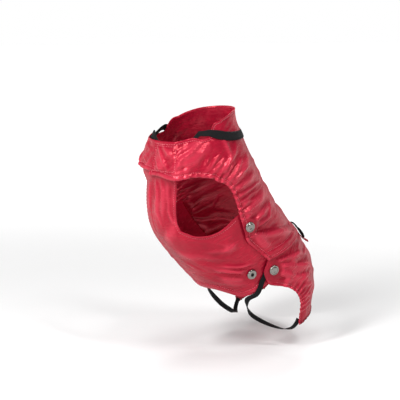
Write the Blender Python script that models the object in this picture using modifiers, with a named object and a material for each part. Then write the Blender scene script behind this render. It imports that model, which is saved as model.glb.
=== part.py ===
# A padded dog coat in the hollow form that it has in wear.
#
# The coat is cut from three cloth panels: a back panel whose two wings wrap the neck and overlap at
# the front, a belly panel that runs from under the wings down the chest to the belly, and a rump
# panel with a notch for the tail. A place on the coat is an angle round its hollow (0 along the
# spine, 90 on the left side, 180 at the chest, negative on the right) and a station down the spine
# from the nape. The chest looks towards -Y, the coat's left side is +X, and the origin is the middle
# of the chest's hollow.

import bpy
import bmesh
import numpy as np
from mathutils import Matrix, Vector

# Driving sizes, in millimetres and degrees.
MM = 0.001
WALL = 1.4              # cloth and thin padding
BAND_WALL = 1.1         # elastic webbing
ARC_PER_DEGREE = 1.17   # length round the coat of one degree
WING_LAP_LIFT = 2.2     # how far the left wing lies outside the right one
SEAM_ANGLE = 110.5      # where the torso of the back panel goes over into a wing
LEFT_WING_END = 185     # how far round the neck the outer wing reaches
RIGHT_WING_END = 212    # how far the wing under it reaches
WING_GATHERS_END = 146  # where the gathered edge over the armhole ends
COLLAR_ROWS = 6         # rows from the neck edge to the wing's lower edge
WAIST_MIDDLE = 216      # station of the waist hem on the spine
WAIST_CORNER = 184      # station of the waist hem at its corners
WAIST_CORNER_ANGLE = 99
WAIST_HEM_RISE = 1.2    # the hem's channel stands out by this
BIB_STATION = 100       # where the chest piece goes over into the belly
BELLY_SIDE = 92         # the belly panel's side edge, under the back panel
UNDER_BACK = 1.9        # how far the belly panel sinks under the back panel
UNDER_RUMP = 4.5        # how far it sinks under the rump panel's corner
UNDER_WAIST = 1.7       # how far the rump panel sinks under the waist hem
UNDER_WING = 2.4        # how far the chest piece stays inside the flared wings
GATHERS_ARMHOLE = 14    # elastic gathers behind the armhole
GATHERS_WING = 5        # elastic gathers above the armhole
GATHERS_THIGH = 9       # elastic gathers behind the thigh opening
GATHER_HEIGHT = 2.4
SNAP_RADIUS = 6.8
SNAP_HEIGHT = 2.4
SNAP_STEPS = 18
NECK_BAND_WIDTH = 12
LEG_STRAP_WIDTH = 7
CORD_DIAMETER = 2.2

RED = (0.42, 0.016, 0.032)
BLACK = (0.012, 0.012, 0.012)
SILVER = (0.62, 0.61, 0.60)


def table(columns, *rows):
    """One array for each named column."""
    return dict(zip(columns, np.array(rows, float).T))


# Sections of the hollow form: the place of each ring's centre, its backward tilt, and its radii.
RINGS = table(
    ("station", "y", "z", "tilt", "half_width", "back_depth", "front_depth"),
    (-40,   0, 128,  6, 42, 46, 50),
    (0,    -4,  98,  8, 48, 52, 56),
    (30,   -2,  70, 12, 58, 60, 63),
    (60,    2,  42, 18, 65, 67, 76),
    (100,  14,   4, 26, 69, 74, 88),
    (140,  36, -32, 32, 70, 76, 83),
    (180,  64, -64, 36, 71, 73, 80),
    (220,  92, -95, 38, 72, 70, 74),
    (260, 114, -128, 36, 74, 66, 62),
    (300, 122, -168, 28, 68, 49, 46),
)

# How far the wings stand off the form at their lower edge round the neck, and its share by station.
FLARE = table(
    ("angle", "height"),
    (0, 0), (80, 0), (100, 2), (120, 7), (144, 13.5), (165, 7), (180, 4),
)
FLARE_DOWN = table(
    ("station", "share"),
    (-40, 0.35), (0, 0.45), (10, 0.65), (30, 0.92), (48, 1), (62, 0.7), (80, 0.2), (100, 0),
    (120, 0), (140, 0),
)

# The neck edge, which rises to a peak at the nape behind the band.
NECK_EDGE = table(
    ("angle", "station"),
    (0, -22), (30, -21.5), (60, -19), (87, -11), (103, -2), (107, 8), (110.5, 9),
    (118, 9), (126, 6), (142, 7), (180, 8), (212, 8),
)

# The wing's lower edge, from the seam to the flap's corner.
WING_EDGE = table(
    ("angle", "left", "right"),
    (110.5, 56, 56), (128, 48, 46), (146, 46.5, 39.5), (165, 43.5, 40), (180, 43.5, 41),
    (213, 47, 44),
)

# The back panel's free edge: armhole, side and waist corner, with the middle of each row.
BACK_EDGE = table(
    ("row", "angle", "station", "middle"),
    (0,  110.5,   9, -22),
    (6,  110.5,  56,  17),
    (10, 101,    67,  40),
    (14,  96,    79,  62),
    (19,  95,    98,  92),
    (24,  97,   114, 114),
    (29, 100,   132, 134),
    (34, 103,   146, 154),
    (38, 101,   164, 184),
    (42,  99,   184, 216),
)
BACK_COLUMNS = (0, 0.13, 0.26, 0.38, 0.50, 0.61, 0.71, 0.80, 0.87, 0.93, 0.968, 1)
BACK_ROW_BEND = 1.5

# The belly panel: the chest piece's side edge, then the belly's top, rear and side edges.
BIB_EDGE = table(
    ("station", "angle"),
    (34, 147), (46, 148), (58, 148.5), (74, 150), (88, 151), (100, 150),
)
BELLY_TOP = table(
    ("angle", "station"),
    (92, 112), (100, 112), (110, 115), (120, 116), (130, 114), (140, 109), (150, 100), (180, 100),
)
BELLY_HEM = table(
    ("angle", "station"),
    (92, 204), (98, 209), (106, 212), (116, 213), (129, 213.5), (138, 213), (146, 210),
    (154, 199), (162, 190), (172, 187), (180, 186),
)

# The rump panel: its top lies under the waist hem, and its front edge bounds the thigh opening.
RUMP_TOP = table(
    ("part", "station"),
    (0, 208), (0.45, 199), (0.65, 193), (0.8, 188), (1, 182),
)
RUMP_SIDE = table(
    ("station", "angle"),
    (178, 95), (186, 99), (193, 108), (203, 112.5), (216, 113.5), (223, 109), (232, 103),
    (242, 99), (264, 96), (282, 98), (302, 101),
)
RUMP_HEM = table(
    ("part", "station"),
    (0, 262), (0.1, 264), (0.22, 274), (0.34, 290), (0.5, 302), (0.75, 307), (0.9, 305), (1, 300),
)
RUMP_ROWS = table(
    ("row", "share"),
    (0, 0), (7, 0.38), (25, 0.87), (29, 1),
)

# Soft ridges (height above 0) and troughs of the cloth, each from one place to another.
FOLD_COLUMNS = ("angle_a", "station_a", "angle_b", "station_b", "width", "height")
BACK_FOLDS = table(
    FOLD_COLUMNS,
    (153, 42, 112, 18, 6, 3.0),
    (146, 30, 124, 14, 5, 1.8),
    (178, 24, 160, 38, 6, 1.6),
    (136, 44, 108, 30, 6, -1.6),
    (104, 50, 74, 34, 6, 2.0),
    (96, 66, 50, 54, 7, 2.4),
    (92, 80, 54, 82, 6, 2.0),
    (88, 116, 50, 112, 7, 2.2),
    (85, 129, 50, 134, 6, 2.0),
    (84, 142, 42, 184, 6, -3.2),
    (84, 152, 50, 182, 8, 2.0),
    (30, 60, 12, 110, 12, 1.2),
    (24, 140, 8, 176, 10, -1.4),
)
BELLY_FOLDS = table(
    FOLD_COLUMNS,
    (192, 52, 194, 84, 5, 1.8),
    (174, 58, 178, 90, 5, 1.6),
    (162, 52, 168, 84, 5, 2.0),
    (183, 54, 184, 96, 4, -1.4),
    (154, 92, 172, 112, 7, 1.8),
    (124, 138, 112, 142, 6, 2.0),
    (150, 140, 118, 168, 5, -2.0),
    (148, 150, 116, 178, 5, 1.8),
    (170, 128, 136, 140, 7, 1.4),
    (150, 172, 126, 194, 7, 1.4),
    (236, 150, 222, 172, 6, 1.8),
    (214, 130, 230, 150, 6, -1.6),
    (244, 138, 232, 150, 6, 1.6),
)
RUMP_FOLDS = table(
    FOLD_COLUMNS,
    (92, 206, 60, 222, 6, 2.2),
    (94, 212, 54, 248, 6, 2.4),
    (98, 218, 72, 258, 6, 2.0),
    (88, 204, 56, 232, 5, -1.6),
    (48, 238, 26, 252, 9, 1.6),
    (70, 270, 40, 286, 8, 1.8),
)

# The leg strap: from inside the rump panel's corner over the belly panel, then a free loop.
STRAP_ON_BELLY = table(
    ("angle", "station", "out"),
    (106, 197, -2.4), (112, 202, -2.3), (118, 206, -1.4), (124, 211, 1.7), (131, 216, 2.4),
)
STRAP_ROUND_THIGH = table(
    ("x", "y", "z", "lean_x", "lean_y", "lean_z"),
    (45, 44, -131, 0, -0.8, -0.8),
    (37, 49, -143, -0.6, -0.6, -0.5),
    (32, 60, -156, -0.9, -0.3, -0.4),
    (33, 75, -167, -0.8, 0, -0.7),
    (41, 89, -175, -0.4, 0, -1),
    (52, 100, -179, 0.2, -0.1, -1),
    (61, 107, -177, 0.8, -0.2, -0.7),
    (65, 112, -171, 1, -0.1, -0.2),
    (65.6, 116, -164, 1, -0.1, 0),
)

# The drawcord's loop and its pull tab, from the waist hem outwards.
DRAWCORD_LOOP = table(
    ("angle", "station", "out"),
    (13, 209.5, 3.2), (13, 214, 5.8), (14, 221, 6.8), (16.5, 229, 6.4), (20.5, 233.5, 5.6),
    (24.5, 230, 5.9), (27, 222, 6.2), (27.5, 214, 5.2), (27.5, 207.5, 3.3),
)
PULL_TAB = table(
    ("angle", "station", "out", "half_width"),
    (20, 217, 1.7, 4.6), (20, 224, 2.0, 4.4), (20, 231, 2.5, 3.8), (20, 237.5, 4.6, 3.0),
    (20, 243.5, 8, 2.0),
)

# The neck band's middle line, and how far its outer face lies above the wings (below 0: inside).
NECK_BAND = table(
    ("angle", "station", "layer"),
    (-180, 16, -2.4), (-168, 15, -2.4), (-158, 6, -2.5), (-150, 1.5, -2.4), (-142, 6, -2.6),
    (-133, 14, -2.6), (-127, 8, -2.6), (-121, 0.5, -1.8), (-114, 0.5, 0), (-108, 1.5, 1.8),
    (-100, 6, 1.8), (-86, 11.5, 1.7), (-60, 17.5, 1.7), (-33, 20.5, 1.7), (0, 22, 1.7),
    (33, 20.5, 1.7), (60, 17.5, 1.7), (86, 11.5, 1.7), (100, 6, 1.8), (108, 1.5, 1.8),
    (114, 0.5, 0), (121, 0.5, -1.8), (127, 8, -2.6), (133, 14, -2.6), (150, 16, -2.4),
    (180, 16, -2.4),
)


def smooth(rows, of, at, place):
    """The column `at` as a smooth curve over the column `of`, read at each place."""
    x, y = rows[of], rows[at]
    slopes = np.gradient(y, x)
    place = np.clip(place, x[0], x[-1])
    left = np.clip(np.searchsorted(x, place, side="right") - 1, 0, len(x) - 2)
    span = x[left + 1] - x[left]
    t = (place - x[left]) / span
    return (
        (2 * t**3 - 3 * t**2 + 1) * y[left]
        + (t**3 - 2 * t**2 + t) * span * slopes[left]
        + (3 * t**2 - 2 * t**3) * y[left + 1]
        + (t**3 - t**2) * span * slopes[left + 1]
    )


def step(low, high, value):
    """0 below low, 1 above high, and an S-shaped rise between them."""
    t = np.clip((value - low) / (high - low), 0, 1)
    return t * t * (3 - 2 * t)


def form_point(angle, station, out):
    """The point in millimetres that stands out from the hollow form at an angle and a station."""
    angle, station, out = np.broadcast_arrays(angle, station, out)
    turn = np.radians(angle)
    tilt = np.radians(smooth(RINGS, "station", "tilt", station))
    depth_column = np.where(
        np.cos(turn) > 0,
        smooth(RINGS, "station", "back_depth", station),
        smooth(RINGS, "station", "front_depth", station),
    )
    across = (smooth(RINGS, "station", "half_width", station) + out) * np.sin(turn)
    depth = (depth_column + out) * np.cos(turn)
    y = smooth(RINGS, "station", "y", station) + depth * np.cos(tilt)
    z = smooth(RINGS, "station", "z", station) + depth * np.sin(tilt)
    return np.stack([across, y, z], axis=-1)


def fold_height(folds, angle, station, mirrored):
    """Sum of the folds: each is highest on its line and dies away over its width and at its ends."""
    total = np.zeros(np.broadcast(angle, station).shape)
    left, right = (1, 0, 1), (-1, 5, 0.85)
    for side, shift, share in (left, right) if mirrored else (left,):
        for a, sa, b, sb, width, height in zip(*(folds[name] for name in FOLD_COLUMNS)):
            along = np.array([(b - a) * ARC_PER_DEGREE, sb - sa])
            dx = (angle * side - a) * ARC_PER_DEGREE
            dy = station - sa - shift
            t = np.clip((dx * along[0] + dy * along[1]) / (along @ along), 0, 1)
            away = np.hypot(dx - t * along[0], dy - t * along[1])
            ridge = np.exp(-((away / width) ** 2)) * (0.3 + 0.7 * np.sin(np.pi * t))
            total = total + share * height * ridge
    return total


def flare(angle, station):
    """How far the wings stand off the form, the same on both sides of the chest's middle."""
    round_neck = np.minimum(np.abs(angle), 360 - np.abs(angle))
    share = smooth(FLARE_DOWN, "station", "share", station)
    return smooth(FLARE, "angle", "height", round_neck) * share


def waist_station(angle):
    """The station of the waist hem's lower edge."""
    part = np.minimum(np.abs(angle), WAIST_CORNER_ANGLE) / WAIST_CORNER_ANGLE
    return WAIST_MIDDLE + (WAIST_CORNER - WAIST_MIDDLE) * part**BACK_ROW_BEND


def back_out(angle, station):
    """The back panel's outer face above the form, without its gathers."""
    lap = WING_LAP_LIFT * step(138, 150, angle)
    waist = waist_station(angle)
    hem = WAIST_HEM_RISE * step(waist - 16, waist - 6, station) * step(110, 90, np.abs(angle))
    return flare(angle, station) + lap + hem + fold_height(BACK_FOLDS, angle, station, True)


def gather(count, edge_distance, seed):
    """Height of the gathers: count runs along the edge, and each fades at its own distance from it."""
    number = np.floor(count)
    reach = 19 + 7 * np.sin(2.4 * number + seed)
    height = GATHER_HEIGHT * (0.8 + 0.2 * np.sin(1.9 * number + seed))
    wave = 0.5 - 0.5 * np.cos(2 * np.pi * count)
    return height * wave * np.exp(-((edge_distance / reach) ** 2))


def back_torso(row, part):
    """A point of the back panel between its two armholes; part runs from -1 on the right to 1."""
    edge_angle = np.minimum(smooth(BACK_EDGE, "row", "angle", row), SEAM_ANGLE)
    edge_station = smooth(BACK_EDGE, "row", "station", row)
    middle = smooth(BACK_EDGE, "row", "middle", row)
    bend = np.abs(part) ** BACK_ROW_BEND
    angle = part * edge_angle
    station = middle + (edge_station - middle) * bend
    first_middle, first_edge = BACK_EDGE["middle"][0], BACK_EDGE["station"][0]
    first_row = first_middle + (first_edge - first_middle) * bend
    neck = smooth(NECK_EDGE, "angle", "station", np.abs(angle))
    station = station + (neck - first_row) * step(COLLAR_ROWS, 0, row)
    edge_distance = (1 - np.abs(part)) * edge_angle * ARC_PER_DEGREE
    count = np.clip((row - COLLAR_ROWS) / 2, 0, GATHERS_ARMHOLE)
    out = back_out(angle, station) + gather(count, edge_distance, 0.7 * np.sign(part))
    return form_point(angle, station, out)


def back_wing(side, row, angle):
    """A point of a wing, from its neck edge at row 0 to its lower edge."""
    neck = smooth(NECK_EDGE, "angle", "station", angle)
    lower = smooth(WING_EDGE, "angle", "left" if side > 0 else "right", angle)
    first, last = BACK_EDGE["station"][0], BACK_EDGE["station"][1]
    share = (smooth(BACK_EDGE, "row", "station", row) - first) / (last - first)
    station = neck + (lower - neck) * share
    along = np.clip((angle - SEAM_ANGLE) / (WING_GATHERS_END - SEAM_ANGLE), 0, 1)
    out = back_out(side * angle, station) + gather(along * GATHERS_WING, lower - station, 2 * side)
    return form_point(side * angle, station, out)


def belly_out(angle, station):
    """The belly panel's outer face, which sinks under the back and rump panels at its sides."""
    from_chest = np.abs(180 - angle)
    under = UNDER_BACK + (UNDER_RUMP - UNDER_BACK) * step(168, 188, station)
    sink = under * step(50, 66, from_chest)
    under_wing = smooth(FLARE, "angle", "height", 180 - from_chest) - UNDER_WING
    lift = 0.8 * np.maximum(under_wing, 0) * step(58, 42, station)
    folds = fold_height(BELLY_FOLDS, angle, station, False) * step(72, 58, from_chest)
    return folds * step(44, 60, station) + lift - sink


def bib(row, part):
    """The chest piece; row is the station, and part runs from -1 to 1 across it."""
    angle = 180 - part * (180 - smooth(BIB_EDGE, "station", "angle", row))
    return form_point(angle, row, belly_out(angle, row))


def belly(share, angle):
    """The belly piece, from its top edge at share 0 to its hem at 1."""
    round_belly = 180 - np.abs(180 - angle)
    top = np.maximum(smooth(BELLY_TOP, "angle", "station", round_belly), BIB_STATION)
    hem = smooth(BELLY_HEM, "angle", "station", round_belly)
    station = top + (hem - top) * share
    return form_point(angle, station, belly_out(angle, station))


def rump_place(row, part):
    """The angle and the station of a place on the rump panel; part runs from -1 to 1 across it."""
    top = smooth(RUMP_TOP, "part", "station", np.abs(part))
    hem = smooth(RUMP_HEM, "part", "station", np.abs(part))
    station = top + (hem - top) * smooth(RUMP_ROWS, "row", "share", row)
    return part * smooth(RUMP_SIDE, "station", "angle", station), station


def rump_out(angle, station):
    """The rump panel's outer face, sunk under the waist hem."""
    below = station - waist_station(angle)
    folds = fold_height(RUMP_FOLDS, angle, station, True) * step(0, 12, below)
    return folds - UNDER_WAIST * step(13, 3, below)


def rump(row, part):
    """A point of the rump panel, with the gathers of its thigh edges."""
    angle, station = rump_place(row, part)
    edge_angle = smooth(RUMP_SIDE, "station", "angle", station)
    edge_distance = (1 - np.abs(part)) * edge_angle * ARC_PER_DEGREE
    count = np.clip((row - RUMP_ROWS["row"][1]) / 2, 0, GATHERS_THIGH)
    thigh = gather(count, edge_distance, 1.3 + np.sign(part))
    return form_point(angle, station, rump_out(angle, station) + thigh)


def neck_band(part, angle):
    """A point of the neck band; past the lap it follows the folds of the right wing."""
    station = smooth(NECK_BAND, "angle", "station", angle) + part * NECK_BAND_WIDTH / 2
    wing_angle = np.where(angle > 149, angle - 360, angle)
    under_it = flare(angle, station) + fold_height(BACK_FOLDS, wing_angle, station, True)
    return form_point(angle, station, under_it + smooth(NECK_BAND, "angle", "layer", angle))


def both_sides(half):
    """Columns from 1 down to 0 and on to -1."""
    half = np.array(half, float)
    return np.concatenate([half[::-1], -half[1:]])


def grid(function, rows, columns):
    """The function's points for every row and column."""
    return function(*np.meshgrid(rows, columns, indexing="ij"))


def material(name, colour, roughness, metallic):
    made = bpy.data.materials.new(name)
    made.use_nodes = True
    shader = made.node_tree.nodes["Principled BSDF"]
    shader.inputs["Base Color"].default_value = (*colour, 1)
    shader.inputs["Roughness"].default_value = roughness
    shader.inputs["Metallic"].default_value = metallic
    made.diffuse_color = (*colour, 1)
    return made


def place_in_coat(obj, finish):
    obj.data.materials.append(finish)
    coat.objects.link(obj)
    obj.parent = coat_root
    return obj


def cloth(name, grids, thickness, finish):
    """One wall from open grids of points that share their seams; its thickness goes inwards."""
    points, faces = [], []
    for one in grids:
        rows, columns = one.shape[:2]
        index = np.arange(rows * columns).reshape(rows, columns) + len(points)
        quads = np.stack([index[:-1, :-1], index[:-1, 1:], index[1:, 1:], index[1:, :-1]], axis=-1)
        points.extend((one.reshape(-1, 3) * MM).tolist())
        faces.extend(quads.reshape(-1, 4).tolist())
    mesh = bpy.data.meshes.new(name)
    mesh.from_pydata(points, [], faces)
    work = bmesh.new()
    work.from_mesh(mesh)
    bmesh.ops.remove_doubles(work, verts=work.verts, dist=0.00002)
    bmesh.ops.recalc_face_normals(work, faces=work.faces)
    middle = sum((v.co for v in work.verts), Vector()) / len(work.verts)
    if sum((f.normal.dot(f.calc_center_median() - middle) for f in work.faces)) < 0:
        bmesh.ops.reverse_faces(work, faces=work.faces)
    work.to_mesh(mesh)
    work.free()
    mesh.shade_smooth()
    obj = bpy.data.objects.new(name, mesh)
    wall = obj.modifiers.new("Wall", "SOLIDIFY")
    wall.thickness = thickness * MM
    wall.offset = -1
    wall.use_even_offset = False
    return place_in_coat(obj, finish)


def ribbon(name, centre, lean, half_width, thickness, finish):
    """A flat band along a path; lean is the way that its outer face looks."""
    along = np.gradient(centre, axis=0)
    across = np.cross(along, lean)
    across /= np.linalg.norm(across, axis=1, keepdims=True)
    half = np.broadcast_to(half_width, len(centre))[:, None]
    face = np.cross(across, along)
    face /= np.linalg.norm(face, axis=1, keepdims=True)
    outer = np.stack([centre + across * half, centre - across * half], axis=1)
    inner = outer - face[:, None] * thickness
    ring = np.stack([outer[:, 0], outer[:, 1], inner[:, 1], inner[:, 0]], axis=1)
    count = len(centre)
    faces = [(0, 1, 2, 3), tuple(4 * (count - 1) + k for k in (3, 2, 1, 0))]
    for i in range(count - 1):
        for k in range(4):
            nearer, further = 4 * i, 4 * i + 4
            after = (k + 1) % 4
            faces.append((nearer + k, further + k, further + after, nearer + after))
    mesh = bpy.data.meshes.new(name)
    mesh.from_pydata((ring.reshape(-1, 3) * MM).tolist(), [], faces)
    work = bmesh.new()
    work.from_mesh(mesh)
    bmesh.ops.recalc_face_normals(work, faces=work.faces)
    work.to_mesh(mesh)
    work.free()
    return place_in_coat(bpy.data.objects.new(name, mesh), finish)


def smooth_path(points, count):
    """A smooth curve through the points, read at evenly spaced places."""
    marks = np.arange(len(points), dtype=float)
    places = np.linspace(0, marks[-1], count)
    columns = [{"mark": marks, "value": column} for column in points.T]
    return np.stack([smooth(column, "mark", "value", places) for column in columns], axis=1)


def tube(name, points, diameter, finish):
    """A round cord along the points, closed at both ends."""
    curve = bpy.data.curves.new(name, "CURVE")
    curve.dimensions = "3D"
    curve.bevel_depth = diameter / 2 * MM
    curve.bevel_resolution = 2
    curve.use_fill_caps = True
    spline = curve.splines.new("POLY")
    spline.points.add(len(points) - 1)
    for point, place in zip(spline.points, points * MM):
        point.co = (*place, 1)
    return place_in_coat(bpy.data.objects.new(name, curve), finish)


def turned(name, profile, finish, matrix):
    """A round piece: its profile of radius and height, turned about its own Z axis."""
    mesh = bpy.data.meshes.new(name)
    points = [(radius * MM, 0, height * MM) for radius, height in profile]
    mesh.from_pydata(points, [(i, i + 1) for i in range(len(points) - 1)], [])
    obj = bpy.data.objects.new(name, mesh)
    screw = obj.modifiers.new("Turn", "SCREW")
    screw.steps = SNAP_STEPS
    screw.render_steps = SNAP_STEPS
    screw.use_merge_vertices = True
    screw.merge_threshold = 0.00005
    place_in_coat(obj, finish)
    obj.matrix_world = matrix
    return obj


def seat(out_function, angle, station, clearance):
    """Where a round piece sits: its base just clear of the cloth under it, its Z along the normal."""
    def surface(at_angle, at_station):
        return form_point(at_angle, at_station, out_function(at_angle, at_station))

    here = surface(angle, station)
    down = surface(angle, station + 5) - surface(angle, station - 5)
    across = surface(angle + 5, station) - surface(angle - 5, station)
    normal = np.cross(across, down)
    normal /= np.linalg.norm(normal)
    outward = form_point(angle, station, 10) - form_point(angle, station, 0)
    normal *= np.sign(normal @ outward)
    reach = np.linspace(-8, 8, 17)
    offset = grid(surface, angle + reach / ARC_PER_DEGREE, station + reach) - here
    height = offset @ normal
    beside = np.linalg.norm(offset - height[..., None] * normal, axis=-1)
    top = height[beside < SNAP_RADIUS + 1].max()
    base = here + normal * (top + clearance)
    turn = Vector(normal).to_track_quat("Z", "Y").to_matrix().to_4x4()
    return Matrix.Translation(Vector(base * MM)) @ turn


# Start from an empty scene.
for old in list(bpy.data.objects):
    bpy.data.objects.remove(old, do_unlink=True)

coat = bpy.data.collections.new("dog_coat")
bpy.context.scene.collection.children.link(coat)
coat_root = bpy.data.objects.new("coat_root", None)
coat.objects.link(coat_root)

red_cloth = material("red_nylon", RED, 0.35, 0)
black_elastic = material("black_elastic", BLACK, 0.8, 0)
snap_metal = material("nickel_snap", SILVER, 0.3, 1)

# The three panels.
torso_columns = both_sides(BACK_COLUMNS)
torso_rows = np.arange(BACK_EDGE["row"][-1] + 1)
wing_rows = np.arange(COLLAR_ROWS + 1)
gathered_angles = np.linspace(SEAM_ANGLE, WING_GATHERS_END, 2 * GATHERS_WING + 1)
left_angles = np.append(gathered_angles, np.linspace(WING_GATHERS_END, LEFT_WING_END, 9)[1:])
right_angles = np.append(gathered_angles, np.linspace(WING_GATHERS_END, RIGHT_WING_END, 14)[1:])
torso = grid(back_torso, torso_rows, torso_columns)
left_wing = grid(lambda row, angle: back_wing(1, row, angle), wing_rows, left_angles)
right_wing = grid(lambda row, angle: back_wing(-1, row, angle), wing_rows, right_angles)
cloth("back_panel", [torso, left_wing, right_wing], WALL, red_cloth)

belly_half = np.concatenate([np.linspace(BELLY_SIDE, 150, 12), np.linspace(150, 180, 6)[1:]])
belly_angles = np.concatenate([belly_half, 360 - belly_half[-2::-1]])
bib_parts = both_sides(np.linspace(0, 1, 6))
bib_rows = np.linspace(BIB_EDGE["station"][0], BIB_STATION, 9)
chest_piece = grid(bib, bib_rows, bib_parts)
belly_piece = grid(belly, np.linspace(0, 1, 14), belly_angles)
cloth("belly_panel", [chest_piece, belly_piece], WALL, red_cloth)

rump_columns = both_sides((0, 0.08, 0.16, 0.24, 0.32, 0.42, 0.53, 0.64, 0.74, 0.83, 0.91, 0.96, 1))
rump_rows = np.concatenate([np.arange(0, 7, 1.4), np.arange(7, 30)])
cloth("rump_panel", [grid(rump, rump_rows, rump_columns)], WALL, red_cloth)

# The elastic band round the neck: outside the nape, and inside both wings.
band = grid(neck_band, np.array([-1, 0, 1]), np.linspace(-180, 180, 61))
cloth("neck_band", [band], BAND_WALL, black_elastic)

# The straps round the thighs and the snaps, the same on both sides.
mirror = np.array([-1, 1, 1])
on_belly = form_point(*STRAP_ON_BELLY.values())
belly_lean = form_point(STRAP_ON_BELLY["angle"], STRAP_ON_BELLY["station"], 10) - on_belly
belly_lean /= np.linalg.norm(belly_lean, axis=1, keepdims=True)
round_thigh = np.stack([STRAP_ROUND_THIGH[name] for name in ("x", "y", "z")], axis=1)
thigh_lean = np.stack([STRAP_ROUND_THIGH[name] for name in ("lean_x", "lean_y", "lean_z")], axis=1)
strap = smooth_path(np.concatenate([on_belly, round_thigh]), 37)
strap_lean = smooth_path(np.concatenate([belly_lean, thigh_lean]), 37)
strap_half = LEG_STRAP_WIDTH / 2
cap_profile = ((0, SNAP_HEIGHT), (3.5, 2.2), (5.6, 1.6), (6.6, 0.8), (SNAP_RADIUS, 0), (0, 0))
socket_profile = (
    (0, 0.5), (2.4, 0.5), (2.6, 1.6), (4.2, 2.0), (6.0, 1.4), (SNAP_RADIUS, 0), (0, 0),
)
for side, turn, reflect in (("left", 1, 1), ("right", -1, mirror)):
    side_seat = seat(back_out, 94 * turn, 131, 2.9)
    rear_seat = seat(rump_out, 101 * turn, 201, 0.6)
    socket_seat = seat(belly_out, 180 - 60 * turn, 188, 0.7)
    turned("snap_side_" + side, cap_profile, snap_metal, side_seat)
    turned("snap_rear_" + side, cap_profile, snap_metal, rear_seat)
    turned("snap_socket_" + side, socket_profile, snap_metal, socket_seat)
    path, lean = strap * reflect, strap_lean * reflect
    ribbon("leg_strap_" + side, path, lean, strap_half, BAND_WALL, black_elastic)

# The waist drawcord's loop and its cloth pull tab.
tube("drawcord", smooth_path(form_point(*DRAWCORD_LOOP.values()), 25), CORD_DIAMETER, black_elastic)
tab_angle, tab_station, tab_out, tab_half = PULL_TAB.values()
tab = form_point(tab_angle, tab_station, tab_out)
tab_lean = form_point(tab_angle, tab_station, tab_out + 10) - tab
tab_half = smooth_path(tab_half[:, None], 13)[:, 0]
ribbon("pull_tab", smooth_path(tab, 13), smooth_path(tab_lean, 13), tab_half, BAND_WALL, red_cloth)
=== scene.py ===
import bpy
import numpy as np
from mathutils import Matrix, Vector


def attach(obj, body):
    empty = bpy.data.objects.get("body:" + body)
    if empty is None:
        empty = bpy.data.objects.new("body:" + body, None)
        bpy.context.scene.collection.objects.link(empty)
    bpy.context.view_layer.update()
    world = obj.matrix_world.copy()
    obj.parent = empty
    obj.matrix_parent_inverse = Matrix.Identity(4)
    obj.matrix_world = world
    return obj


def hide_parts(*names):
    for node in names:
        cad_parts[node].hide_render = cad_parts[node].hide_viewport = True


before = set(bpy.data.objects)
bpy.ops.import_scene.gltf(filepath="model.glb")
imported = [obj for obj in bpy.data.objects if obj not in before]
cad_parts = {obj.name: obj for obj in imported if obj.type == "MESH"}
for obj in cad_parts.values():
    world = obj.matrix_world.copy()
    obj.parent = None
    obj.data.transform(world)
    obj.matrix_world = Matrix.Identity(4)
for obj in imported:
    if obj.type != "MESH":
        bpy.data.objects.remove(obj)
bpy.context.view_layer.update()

scene = bpy.context.scene

# A place on the coat is an angle round its hollow (0 spine, 90 left side, 180 chest, negative right)
# and a station in mm down the spine from the nape. Lengths are in mm until a mesh is made.
mm = 0.001
arcPerDegree = 1.17      # mm round the coat in one degree
fullTurn = 2 * np.pi

# sections of the hollow form down the spine: centre, backward tilt and radii of each ring
form = {
    "station":    (-40,   0,  30,  60, 100, 140, 180, 220,  260,  300),
    "y":          (0,    -4,  -2,   2,  14,  36,  64,  92,  114,  122),
    "z":          (128,  98,  70,  42,   4, -32, -64, -95, -128, -168),
    "tilt":       (6,     8,  12,  18,  26,  32,  36,  38,   36,   28),
    "halfWidth":  (42,   48,  58,  65,  69,  70,  71,  72,   74,   68),
    "backDepth":  (46,   52,  60,  67,  74,  76,  73,  70,   66,   49),
    "frontDepth": (50,   56,  63,  76,  88,  83,  80,  74,   62,   46),
}


def smooth(curve, column, place):
    # cubic through the knots; each knot's slope is the weighted mean of the slopes on its two sides
    x = np.array(next(iter(curve.values())), float)
    y = np.array(curve[column], float)
    slope = np.gradient(y, x)
    place = np.clip(place, x[0], x[-1])
    left = np.clip(np.searchsorted(x, place, side="right") - 1, 0, len(x) - 2)
    span = x[left + 1] - x[left]
    t = (place - x[left]) / span
    start = (2 * t**3 - 3 * t**2 + 1) * y[left] + (t**3 - 2 * t**2 + t) * span * slope[left]
    end = (3 * t**2 - 2 * t**3) * y[left + 1] + (t**3 - t**2) * span * slope[left + 1]
    return start + end


def step(low, high, value):
    # 0 below low, 1 above high, and an S-curve between
    t = np.clip((value - low) / (high - low), 0, 1)
    return t * t * (3 - 2 * t)


def unit(vectors):
    # each vector divided by its own length
    return vectors / np.linalg.norm(vectors, axis=-1, keepdims=True)


def runLength(points):
    # the length of a line of points, summed up to each of them
    return np.concatenate([[0], np.cumsum(np.linalg.norm(np.diff(points, axis=0), axis=-1))])


def formPoint(angle, station, out):
    # an ellipse round each ring's centre, tilted back; out is added to its radii
    angle, station, out = np.broadcast_arrays(angle, station, out)
    turn = np.radians(angle)
    tilt = np.radians(smooth(form, "tilt", station))
    back = smooth(form, "backDepth", station)
    depth = np.where(np.cos(turn) > 0, back, smooth(form, "frontDepth", station))
    across = (smooth(form, "halfWidth", station) + out) * np.sin(turn)
    depth = (depth + out) * np.cos(turn)
    y = smooth(form, "y", station) + depth * np.cos(tilt)
    z = smooth(form, "z", station) + depth * np.sin(tilt)
    return np.stack([across, y, z], axis=-1)


def outwardAt(angle, station):
    # the way that out runs at a place, of length 1
    return formPoint(angle, station, 1) - formPoint(angle, station, 0)


latticeSize = 96      # cells each way; it repeats after them
shiftCells = (7.37, 3.19)      # how far each shift moves a noise over the lattice
lattice = np.random.default_rng(11).random((latticeSize + 1, latticeSize + 1)) * 2 - 1


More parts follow.
